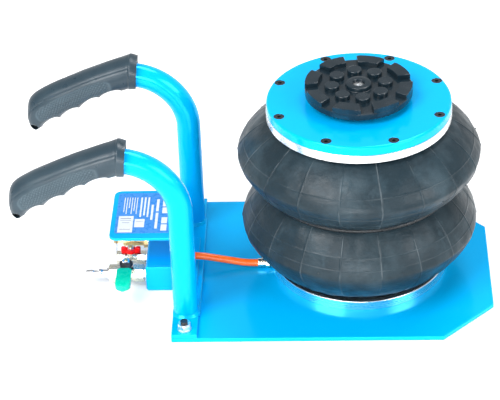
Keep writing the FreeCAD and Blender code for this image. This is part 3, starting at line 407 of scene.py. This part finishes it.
def rounded_block(shape, outline, z_low, z_high, bevel, segments):
    """Adds a prism on an outline, with the edges round its two end faces rounded."""
    low = [shape.verts.new((x, y, z_low)) for x, y in outline]
    high = [shape.verts.new((x, y, z_high)) for x, y in outline]
    faces = [shape.faces.new(low[::-1]), shape.faces.new(high)]
    count = len(outline)
    for i in range(count):
        after = (i + 1) % count
        faces.append(shape.faces.new((low[i], low[after], high[after], high[i])))
    rims = [e for face in faces[:2] for e in face.edges]
    bmesh.ops.bevel(shape, geom=rims, offset=bevel, segments=segments, profile=0.5,
                    affect="EDGES", clamp_overlap=True)


def turned(shape, profile, count):
    """Adds a closed ring or disc turned from a profile of (radius, z)."""
    loops = []
    for radius, z in profile:
        loop = [shape.verts.new((radius * math.cos(2 * math.pi * k / count),
                                 radius * math.sin(2 * math.pi * k / count), z))
                for k in range(count)]
        loops.append(loop)
    for row, loop in enumerate(loops):
        following = loops[(row + 1) % len(loops)]
        for k in range(count):
            after = (k + 1) % count
            shape.faces.new((loop[k], loop[after], following[after], following[k]))


# ---- air bag, in millimetres and degrees ----
# Each lobe: low, nose and high z, then low, nose and high radius.
BAG_LOBES = ((16.3, 67.0, 112.0, 87.0, 131.0, 98.0), (112.0, 154.0, 195.7, 98.0, 134.0, 84.0))
BAG_POWER = 1.4
BAG_RELIEF = 0.9
BAG_WALL = 6.0
BAG_SECTORS = 18
SECTOR_DEG = 360.0 / BAG_SECTORS
BAG_STEPS = 34
LINE_OFFSETS = (-10.0, -8.6, -7.2, -5.8, -4.4, -3.0, -1.8, -0.9, -0.45, -0.2, 0.0, 0.2, 0.45, 0.9,
                1.8, 3.0, 4.4, 5.8, 7.2, 8.6)
LINE_HALF = 0.45
LINE_HEIGHT = 0.55
# Raised bands round the bag: the lobe's index and the turn on it.
BAND_PLACES = ((0, 1.22), (0, 1.42), (1, 0.52), (1, 0.74), (1, 1.30))
BAND_ROWS = (-0.016, -0.008, 0.0, 0.008, 0.016)
BAND_HALF = 0.012
BAND_HEIGHT = 0.45
BAND_MARK = 0.4
# Broad and fine swells of the rubber: size and height.
SWELLS = ((46.0, 0.9), (17.0, 0.35))
PLEATS = 36.0
PLEAT_WANDER = 2.0
PLEAT_WANDER_SIZE = 60.0
PLEAT_HEIGHT = 0.45
PLEAT_ENDS = (0.05, 0.75)
BEAD_REACH = 6.0
INNER_ROW_STEP = 4
# Moulding pips: profile of (reach, height), their turns on a lobe and their spread in a sector.
PIP_PROFILE = ((0.9, -1.2), (0.9, 0.2), (0.55, 0.7))
PIP_SIDES = 8
PIP_MARK = 0.5
PIP_TURNS = (0.62, 0.8, 1.12, 1.3)
PIP_SPREAD = (5.0, 15.0)


def lobe_point(lobe, turn):
    """Point on a lobe's outer face: turn runs 0 at its lower end, 1 at its nose, 2 at its top."""
    low_z, nose_z, high_z, low_r, nose_r, high_r = lobe
    if turn <= 1.0:
        angle, end_r, end_z = turn * math.pi / 2, low_r, low_z
    else:
        angle, end_r, end_z = (2.0 - turn) * math.pi / 2, high_r, high_z
    power = 2.0 / BAG_POWER
    radius = end_r + (nose_r - end_r) * math.sin(angle) ** power
    z = nose_z + (end_z - nose_z) * math.cos(angle) ** power
    return radius, z


def bag_rows():
    """Rows of (radius, z, band share, pleat share) from the lower end to the upper end."""
    rows = []
    for index, lobe in enumerate(BAG_LOBES):
        turns = {round(i / BAG_STEPS, 5) for i in range(2 * BAG_STEPS + 1)}
        for owner, middle in BAND_PLACES:
            if owner == index:
                turns |= {middle + offset for offset in BAND_ROWS}
        for turn in sorted(turns):
            if index == 1 and turn == 0.0:
                continue
            radius, z = lobe_point(lobe, turn)
            band = max([0.0] + [1.0 - abs(turn - middle) / BAND_HALF
                                for owner, middle in BAND_PLACES if owner == index])
            ends = 1.0 - step_between(min(turn, 2.0 - turn), *PLEAT_ENDS)
            rows.append((radius, z, band, ends))
    return rows


def bag_angles():
    return [SECTOR_DEG * sector + offset for sector in range(BAG_SECTORS) for offset in LINE_OFFSETS]


def bag_mesh():
    rows = bag_rows()
    angles = bag_angles()
    vertices = []
    lines = []
    for radius, z, band, ends in rows:
        for index, degrees in enumerate(angles):
            offset = LINE_OFFSETS[index % len(LINE_OFFSETS)]
            line = max(0.0, 1.0 - abs(offset) / LINE_HALF)
            angle = math.radians(degrees)
            around = Vector((math.cos(angle), math.sin(angle), 0.0))
            place = around * radius + Vector((0.0, 0.0, z))
            swell = sum(noise.noise(place / size) * height for size, height in SWELLS)
            wander = PLEAT_WANDER * noise.noise(place / PLEAT_WANDER_SIZE)
            pleat = math.sin(angle * PLEATS + wander) * ends * PLEAT_HEIGHT
            lift = swell + pleat + LINE_HEIGHT * line + BAND_HEIGHT * band
            lock = step_between(min(z - rows[0][1], rows[-1][1] - z), 0.0, BEAD_REACH)
            reach = radius - BAG_RELIEF + min(lift, BAG_RELIEF) * lock
            vertices.append((around * reach + Vector((0.0, 0.0, z))) * MM)
            lines.append(max(line, band * BAND_MARK))
    columns = len(angles)
    inner_rows = rows[::INNER_ROW_STEP][::-1]
    for radius, z, *_ in inner_rows:
        reach = radius - BAG_RELIEF - BAG_WALL
        for degrees in angles:
            angle = math.radians(degrees)
            vertices.append(Vector((reach * math.cos(angle), reach * math.sin(angle), z)) * MM)
            lines.append(0.0)
    total = len(rows) + len(inner_rows)
    faces = grid_faces(total, columns)
    last = (total - 1) * columns
    for column in range(columns):
        after = (column + 1) % columns
        faces.append((last + column, last + after, after, column))
    return vertices, faces, lines


def add_pip(vertices, faces, lines, angle, radius, z):
    """A small moulding pip, a closed dome that stands on the bag's face."""
    start = len(vertices)
    around = Vector((math.cos(angle), math.sin(angle), 0.0))
    side = Vector((-math.sin(angle), math.cos(angle), 0.0))
    for reach, out in PIP_PROFILE:
        for k in range(PIP_SIDES):
            turn = 2 * math.pi * k / PIP_SIDES
            place = around * (radius + out) + side * (reach * math.cos(turn))
            vertices.append((place + Vector((0.0, 0.0, z + reach * math.sin(turn)))) * MM)
            lines.append(PIP_MARK)
    rings = len(PIP_PROFILE)
    faces += [tuple(start + i for i in face) for face in grid_faces(rings, PIP_SIDES)]
    faces.append(tuple(start + k for k in reversed(range(PIP_SIDES))))
    faces.append(tuple(start + (rings - 1) * PIP_SIDES + k for k in range(PIP_SIDES)))


def make_bag():
    vertices, faces, lines = bag_mesh()
    for lobe in BAG_LOBES:
        for k in range(BAG_SECTORS):
            turn = random.choice(PIP_TURNS)
            radius, z = lobe_point(lobe, turn)
            angle = math.radians(SECTOR_DEG * k + random.uniform(*PIP_SPREAD))
            add_pip(vertices, faces, lines, angle, radius - BAG_RELIEF, z)
    bag = new_object("air_bag", vertices, faces, FINISHES["bag_rubber"])
    attribute = bag.data.attributes.new("mould_line", "FLOAT", "POINT")
    attribute.data.foreach_set("value", lines)
    shape = bmesh.new()
    shape.from_mesh(bag.data)
    bmesh.ops.recalc_face_normals(shape, faces=shape.faces)
    shape.to_mesh(bag.data)
    shape.free()
    bag.data.shade_smooth()
    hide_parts("bellows")
    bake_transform(bag)


# ---- handle sleeves: outlines of (place along the sleeve, x, z), width of (place, half, unused) ----
GRIP_TOP = ((0.00, -243.8, 226.6), (0.075, -253.0, 229.6), (0.12, -261.0, 227.0),
            (0.16, -269.0, 224.4), (0.34, -301.0, 212.5), (0.52, -327.0, 201.5),
            (0.70, -350.5, 190.5), (0.82, -368.0, 177.5), (0.91, -372.2, 160.0),
            (0.97, -371.0, 146.0), (1.00, -368.6, 140.5))
GRIP_BELOW = ((0.00, -247.0, 190.2), (0.075, -254.5, 189.6), (0.16, -262.5, 187.0),
              (0.34, -287.5, 178.8), (0.52, -310.5, 165.8), (0.70, -333.5, 153.2),
              (0.86, -355.0, 141.2), (0.94, -361.3, 137.0), (1.00, -364.0, 137.2))
GRIP_WIDTH = ((0.00, 20.0, 0.0), (0.08, 20.0, 0.0), (0.16, 19.2, 0.0), (0.70, 18.4, 0.0),
              (0.84, 16.6, 0.0), (0.93, 12.0, 0.0), (1.00, 4.2, 0.0))
GRIP_RIDGES = (0.16, 0.34, 0.52, 0.70, 0.86)
GRIP_ROWS = 190
GRIP_SIDES = 112
GRIP_LEAD_ROW = 12
GRIP_TAIL_ROW = -8
GRIP_SQUARE = 0.92
GRIP_CORE_HALF = 0.5
GRIP_SCALLOP = 3.4
SCALLOP_POWER = 0.8
SCALLOP_RISE = (0.25, 0.95)
COLLAR_END = (0.072, 0.080)
COLLAR_STEP = 0.05
KNURL_PITCH = 3.6
KNURL_HEIGHT = 0.45
KNURL_ALONG = 140.0
KNURL_ACROSS = 20.0
PANEL_DROP = 0.08
PANEL_INSET = 0.9
PANEL_EDGE = (0.80, 1.0)
PANEL_RIM = 0.22
PANEL_MIDDLE = 0.52
PANEL_HALF = 0.30
PANEL_HALF_HEIGHT = 0.46
LEDGE = 0.9
LEDGE_END = (0.84, 0.95)
LEDGE_RISE = (0.60, 0.66)
LEDGE_TOP = (0.8, 1.0)
GROOVE_RISE = 0.55
GROOVE_DEPTH = 1.3
GROOVE_HALF = 0.07
DRAIN_PLACE = (-364.4, 144.6)
DRAIN_R = 4.6
DRAIN_EDGE = 0.8
DRAIN_DEPTH = 5.0
SOCKET_SHARE = 0.70
SOCKET_DEPTH = 2.5
LIP_SHARE = 0.72
LIP_RISE = 0.5
WELL_SHARE = 0.66
WELL_DEPTH = 4.0


def scallop(place):
    """Depth of the finger hollows along the sleeve's underside."""
    for start, end in zip(GRIP_RIDGES, GRIP_RIDGES[1:]):
        if start <= place <= end:
            share = (place - start) / (end - start)
            return math.sin(math.pi * share ** SCALLOP_POWER) ** SCALLOP_POWER
    return 0.0


def panel_marks(place, rise):
    """How far a point lies in the knurled side panel, its knurl, and the panel's rim."""
    height = (rise + PANEL_DROP) / PANEL_HALF_HEIGHT
    reach = ((place - PANEL_MIDDLE) / PANEL_HALF) ** 4 + height ** 4
    panel = 1.0 - step_between(reach, *PANEL_EDGE)
    rim = max(0.0, 1.0 - abs(reach - 1.0) / PANEL_RIM)
    along = place * KNURL_ALONG
    across = rise * KNURL_ACROSS
    first = abs(((along + across) / KNURL_PITCH) % 1.0 - 0.5) * 2.0
    second = abs(((along - across) / KNURL_PITCH) % 1.0 - 0.5) * 2.0
    return panel, min(first, second), rim


def grip_row(place, y_middle):
    """One loop of the sleeve, with how bright its panel marks are and where its drain is, for the
    drain hole's painted shade.
    """
    top = Vector(smooth_curve(GRIP_TOP, place))
    below = Vector(smooth_curve(GRIP_BELOW, place))
    width = smooth_curve(GRIP_WIDTH, place)[0]
    middle = (top + below) / 2
    up = (top - below) / 2
    up_way = up.normalized()
    collar = step_between(place, *COLLAR_END)
    shrink = 1.0 - COLLAR_STEP * collar
    ledge_part = collar * (1.0 - step_between(place, *LEDGE_END)) * LEDGE
    row, marks, drain_shades = [], [], []
    for k in range(GRIP_SIDES):
        turn = 2 * math.pi * k / GRIP_SIDES
        rise = math.sin(turn)
        side = math.copysign(abs(math.cos(turn)) ** GRIP_SQUARE, math.cos(turn))
        rise_out = math.copysign(abs(rise) ** GRIP_SQUARE, rise)
        panel, knurl, rim = panel_marks(place, rise)
        ledge = ledge_part * step_between(rise, *LEDGE_RISE) * (1.0 - step_between(rise, *LEDGE_TOP))
        hollow = scallop(place) * GRIP_SCALLOP * step_between(-rise, *SCALLOP_RISE) * collar
        out = middle + up * (rise_out * shrink) + up_way * hollow
        groove = ledge_part * max(0.0, 1.0 - abs(rise - GROOVE_RISE) / GROOVE_HALF) * GROOVE_DEPTH
        inset = panel * (PANEL_INSET - knurl * KNURL_HEIGHT) - ledge + groove
        from_drain = math.hypot(out.x - DRAIN_PLACE[0], out.y - DRAIN_PLACE[1])
        drain = 1.0 - step_between(from_drain, DRAIN_R - DRAIN_EDGE, DRAIN_R)
        half = max(width * shrink - inset, GRIP_CORE_HALF)
        reach = abs(side) * half
        y = math.copysign(max(reach - drain * DRAIN_DEPTH, min(reach, GRIP_CORE_HALF)), side)
        row.append(Vector((out.x, y_middle + y, out.y)) * MM)
        marks.append(max(panel * (1.0 - knurl) ** 5 * 0.6, rim * 0.35))
        # The drain mask also sets the painted shade inside the drain hole.
        drain_shades.append(drain)
    return row, marks, drain_shades


def make_grip(name, node, y_middle):
    made_rows = [grip_row(i / (GRIP_ROWS - 1), y_middle) for i in range(GRIP_ROWS)]
    rows = [row for row, marks, drain_shades in made_rows]
    blank = [0.0] * (2 * GRIP_SIDES)
    panel_line = blank + [mark for row, marks, drain_shades in made_rows for mark in marks] + blank
    drain_shade = blank + [drain for row, marks, drain_shades in made_rows for drain in drain_shades] + blank
    first, last = rows[0], rows[-1]
    start_middle = sum(first, Vector()) / GRIP_SIDES
    end_middle = sum(last, Vector()) / GRIP_SIDES
    inward = (rows[GRIP_LEAD_ROW][0] - rows[0][0]).normalized()
    socket = [start_middle + (v - start_middle) * SOCKET_SHARE for v in first]
    socket_floor = [v + inward * SOCKET_DEPTH * MM for v in socket]
    out_way = (end_middle - sum(rows[GRIP_TAIL_ROW], Vector()) / GRIP_SIDES).normalized()
    lip = [end_middle + (v - end_middle) * LIP_SHARE + out_way * LIP_RISE * MM for v in last]
    well = [end_middle + (v - end_middle) * WELL_SHARE - out_way * WELL_DEPTH * MM for v in last]
    loops = [socket_floor, socket] + rows + [lip, well]
    vertices = [v for loop in loops for v in loop]
    faces = grid_faces(len(loops), GRIP_SIDES)
    faces.append(tuple(reversed(range(GRIP_SIDES))))
    last_start = (len(loops) - 1) * GRIP_SIDES
    faces.append(tuple(last_start + k for k in range(GRIP_SIDES)))
    shape = bmesh.new()
    made = [shape.verts.new(v) for v in vertices]
    for face in faces:
        shape.faces.new([made[i] for i in face])
    grip = from_bmesh(name, shape, FINISHES["grip_plastic"], 50.0)
    # The drain attribute carries the painted shade inside the drain hole.
    for attribute_name, values in (("panel_line", panel_line), ("drain", drain_shade)):
        attribute = grip.data.attributes.new(attribute_name, "FLOAT", "POINT")
        attribute.data.foreach_set("value", values)
    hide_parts(node)
    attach(grip, "base")


# ---- lifting pad ----
PAD_SIDES = 96
PAD_BLOCKS = 8
PAD_BLOCK_DEG = 360.0 / PAD_BLOCKS
PAD_BLOCK_SINK = 1.0
PAD_BLOCK_SEGMENTS = 3
PAD_R = 58.0
PAD_LOW_Z = 223.0
PAD_FLOOR_Z = 231.0
PAD_TOP_Z = 236.0
PAD_SEAT_Z = 228.0
LUG_INNER_R = 44.0
LUG_HALF_DEG = 15.5
LUG_INNER_SHARE = 0.9
LUG_FIRST_DEG = -14.0
LUG_BEVEL = 0.9
STUD_PCD_R = 29.0
STUD_R = 8.0
STUD_SIDES = 28
STUD_FIRST_DEG = 8.0
STUD_BEVEL = 1.1
PAD_BOSS_R = 14.0
PAD_BORE_R = 6.6
PAD_SCREW_R = 5.1


def make_pad():
    shape = bmesh.new()
    turned(shape, [(r * MM, z * MM) for r, z in (
        (PAD_SCREW_R, PAD_LOW_Z), (PAD_R - 0.8, PAD_LOW_Z), (PAD_R, PAD_LOW_Z + 0.8),
        (PAD_R, PAD_FLOOR_Z - 1.2), (PAD_R - 0.4, PAD_FLOOR_Z - 0.4), (PAD_R - 1.2, PAD_FLOOR_Z),
        (PAD_BOSS_R + 0.8, PAD_FLOOR_Z), (PAD_BOSS_R, PAD_FLOOR_Z + 0.8),
        (PAD_BOSS_R - 0.3, PAD_TOP_Z - 0.8), (PAD_BOSS_R - 1.1, PAD_TOP_Z),
        (PAD_BORE_R + 0.6, PAD_TOP_Z), (PAD_BORE_R, PAD_TOP_Z - 0.6),
        (PAD_BORE_R, PAD_SEAT_Z), (PAD_SCREW_R, PAD_SEAT_Z))], PAD_SIDES)
    block_z = (PAD_FLOOR_Z - PAD_BLOCK_SINK) * MM
    for k in range(PAD_BLOCKS):
        middle = math.radians(PAD_BLOCK_DEG * k + LUG_FIRST_DEG)
        outline = []
        for i in range(9):
            turn = middle + math.radians(LUG_HALF_DEG) * (i / 4.0 - 1.0)
            outline.append(((PAD_R - 0.1) * math.cos(turn), (PAD_R - 0.1) * math.sin(turn)))
        for i in range(5):
            turn = middle - math.radians(LUG_HALF_DEG) * LUG_INNER_SHARE * (i / 2.0 - 1.0)
            outline.append((LUG_INNER_R * math.cos(turn), LUG_INNER_R * math.sin(turn)))
        rounded_block(shape, [(x * MM, y * MM) for x, y in outline], block_z, PAD_TOP_Z * MM,
                      LUG_BEVEL * MM, PAD_BLOCK_SEGMENTS)
        middle = math.radians(PAD_BLOCK_DEG * k + STUD_FIRST_DEG)
        centre = (STUD_PCD_R * math.cos(middle), STUD_PCD_R * math.sin(middle))
        outline = [(centre[0] + STUD_R * math.cos(math.tau * i / STUD_SIDES),
                    centre[1] + STUD_R * math.sin(math.tau * i / STUD_SIDES))
                   for i in range(STUD_SIDES)]
        rounded_block(shape, [(x * MM, y * MM) for x, y in outline], block_z, PAD_TOP_Z * MM,
                      STUD_BEVEL * MM, PAD_BLOCK_SEGMENTS)
    pad = from_bmesh("ribbed_pad", shape, FINISHES["pad_rubber"], 50.0)
    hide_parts("rubber_pad")
    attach(pad, "head")


# ---- lever sleeve ----
SLEEVE_NEAR_R = 6.5 * MM
SLEEVE_FAR_R = 2.0 * MM
SLEEVE_EDGE_R = 2.2 * MM
SLEEVE_SEGMENTS = 4


def rounded_outline(x0, x1, y0, y1, near_r, far_r, steps=8):
    """Outline of a rectangle with one corner radius at its near end and one at its far end."""
    points = []
    corners = ((x1 - far_r, y1 - far_r, far_r, 0), (x0 + far_r, y1 - far_r, far_r, 90),
               (x0 + near_r, y0 + near_r, near_r, 180), (x1 - near_r, y0 + near_r, near_r, 270))
    for x, y, radius, start in corners:
        for i in range(steps + 1):
            turn = math.radians(start + 90.0 * i / steps)
            points.append((x + radius * math.cos(turn), y + radius * math.sin(turn)))
    return points


def make_lever_sleeve():
    low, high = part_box("inflate_lever_sleeve")
    shape = bmesh.new()
    outline = rounded_outline(low.x, high.x, low.y, high.y, SLEEVE_NEAR_R, SLEEVE_FAR_R)
    rounded_block(shape, outline, low.z, high.z, SLEEVE_EDGE_R, SLEEVE_SEGMENTS)
    sleeve = from_bmesh("lever_sleeve", shape, FINISHES["green_vinyl"], 50.0)
    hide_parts("inflate_lever_sleeve")
    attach(sleeve, "inflate_lever")


# ---- relief valve spring ----
SPRING_TURNS = 6
SPRING_STEPS = 24
SPRING_SIDES = 8
SPRING_WIRE_R = 0.4 * MM


def make_relief_spring():
    """Coil spring of the relief valve, wound along its part's box from one end to the other."""
    low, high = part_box("relief_valve_spring")
    middle = (low + high) / 2
    coil_r = (high.y - low.y) / 2 - SPRING_WIRE_R
    length = high.x - low.x - 2 * SPRING_WIRE_R
    steps = SPRING_TURNS * SPRING_STEPS
    shape = bmesh.new()
    made = []
    for i in range(steps + 1):
        turn = math.tau * i / SPRING_STEPS
        outward = Vector((0.0, math.cos(turn), math.sin(turn)))
        along = low.x + SPRING_WIRE_R + length * i / steps
        centre = Vector((along, middle.y, middle.z)) + outward * coil_r
        for k in range(SPRING_SIDES):
            side = math.tau * k / SPRING_SIDES
            way = outward * math.cos(side) + Vector((math.sin(side), 0.0, 0.0))
            made.append(shape.verts.new(centre + way * SPRING_WIRE_R))
    for face in grid_faces(steps + 1, SPRING_SIDES):
        shape.faces.new([made[i] for i in face])
    shape.faces.new(made[:SPRING_SIDES])
    shape.faces.new(made[-SPRING_SIDES:])
    spring = from_bmesh("relief_spring", shape, FINISHES["plain_steel"])
    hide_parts("relief_valve_spring")
    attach(spring, "base")
    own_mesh(spring)


# ---- label print: plain bars and boxes, no lettering ----
PRINT_RISE = 0.05
PRINT_SHIFT = -1.5
PRINT_BEVEL = 0.02
BOLD_BARS = ((-217.5, -211.0, -47.0, -35.0), (-217.5, -211.0, -33.0, -21.0),
             (-217.5, -211.0, -13.0, -1.5), (-217.5, -211.0, 0.5, 12.0))
THIN_BARS = ((-224.5, -221.5, -43.0, -12.0), (-224.5, -221.5, -9.0, 15.0),
             (-230.0, -227.4, -26.0, 4.0), (-234.5, -232.5, -20.0, 19.0),
             (-238.5, -236.5, -17.0, 19.0), (-242.5, -240.5, -20.0, 19.0),
             (-247.0, -246.0, -14.0, 19.0), (-249.8, -248.8, -8.0, 19.0),
             (-252.6, -251.6, -14.0, 19.0), (-255.4, -254.4, -2.0, 19.0),
             (-258.2, -257.2, -14.0, 19.0), (-261.0, -260.0, -10.0, 19.0))
PALE_BOXES = ((-265.0, -248.5, -50.0, -18.0), (-247.0, -236.0, -40.0, -24.0))
DARK_LINES = ((-263.0, -251.0, -23.5, -22.0), (-263.0, -251.0, -27.0, -26.2),
              (-261.0, -252.5, -31.5, -30.5), (-263.0, -251.0, -44.5, -43.5),
              (-245.5, -237.5, -29.0, -28.2))


def flat_bars(name, bars, base_z, rise, material):
    shape = bmesh.new()
    for x0, x1, y0, y1 in bars:
        x0, x1 = (x0 + PRINT_SHIFT) * MM, (x1 + PRINT_SHIFT) * MM
        outline = [(x0, y0 * MM), (x1, y0 * MM), (x1, y1 * MM), (x0, y1 * MM)]
        rounded_block(shape, outline, base_z - rise * MM, base_z + rise * MM, PRINT_BEVEL * MM, 1)
    bars_object = from_bmesh(name, shape, material)
    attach(bars_object, "base")


def make_label_print():
    top_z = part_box("label_sticker")[1].z
    flat_bars("label_bars", BOLD_BARS + THIN_BARS + PALE_BOXES, top_z, PRINT_RISE, LABEL_WHITE)
    flat_bars("label_lines", DARK_LINES, top_z + PRINT_RISE * MM, PRINT_RISE, LABEL_GREY)


# ---- stage, light and camera ----
FLOOR_HALF = 6.0
FLOOR_DROP = 0.0003


def aimed(place, target):
    way = Vector(target) - Vector(place)
    return Matrix.Translation(place) @ way.to_track_quat("-Z", "Y").to_matrix().to_4x4()


def soft_light(name, place, size, power):
    data = bpy.data.lights.new(name, "AREA")
    data.shape = "RECTANGLE"
    data.size, data.size_y = size
    data.energy = power
    made = bpy.data.objects.new(name, data)
    made.matrix_world = aimed(place, LIGHT_TARGET)
    bpy.context.scene.collection.objects.link(made)


def make_stage():
    corners = [(-FLOOR_HALF, -FLOOR_HALF), (FLOOR_HALF, -FLOOR_HALF),
               (FLOOR_HALF, FLOOR_HALF), (-FLOOR_HALF, FLOOR_HALF)]
    floor = new_object("floor", [(x, y, -FLOOR_DROP) for x, y in corners], [(0, 1, 2, 3)],
                       floor_paper(), smooth=False)
    world = bpy.data.worlds.new("studio")
    world.use_nodes = True
    tree = world.node_tree
    background = tree.nodes["Background"]
    background.inputs["Color"].default_value = (1.0, 1.0, 1.0, 1.0)
    way = tree.nodes.new("ShaderNodeTexCoord")
    parts = tree.nodes.new("ShaderNodeSeparateXYZ")
    fade = tree.nodes.new("ShaderNodeMapRange")
    tree.links.new(way.outputs["Generated"], parts.inputs[0])
    tree.links.new(parts.outputs[2], fade.inputs["Value"])
    for socket, number in (("From Min", HORIZON_RISE), ("From Max", CEILING_RISE),
                           ("To Min", HORIZON_LEVEL), ("To Max", CEILING_LEVEL)):
        fade.inputs[socket].default_value = number
    tree.links.new(fade.outputs["Result"], background.inputs["Strength"])
    bpy.context.scene.world = world
    for name, place, size, power in SOFT_BOXES:
        soft_light(name, place, size, power)
    bpy.context.scene.view_settings.view_transform = "Standard"


def make_camera():
    data = bpy.data.cameras.new("camera")
    data.lens = CAMERA_LENS
    data.sensor_width = CAMERA_SENSOR
    data.clip_end = CAMERA_CLIP_END
    made = bpy.data.objects.new("camera", data)
    right, up = Vector(CAMERA_RIGHT), Vector(CAMERA_UP)
    back = right.cross(up)
    turn = Matrix((right, up, back)).transposed().to_4x4()
    made.matrix_world = Matrix.Translation(CAMERA_PLACE) @ turn
    bpy.context.scene.collection.objects.link(made)
    bpy.context.scene.camera = made


def middle_y(node):
    low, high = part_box(node)
    return (low.y + high.y) / 2 / MM


make_camera()
make_stage()
dress_frame()
make_bag()
make_grip("near_sleeve", "near_grip", middle_y("near_handle_tube"))
make_grip("far_sleeve", "far_grip", middle_y("far_handle_tube"))
make_pad()
make_lever_sleeve()
make_relief_spring()
make_label_print()
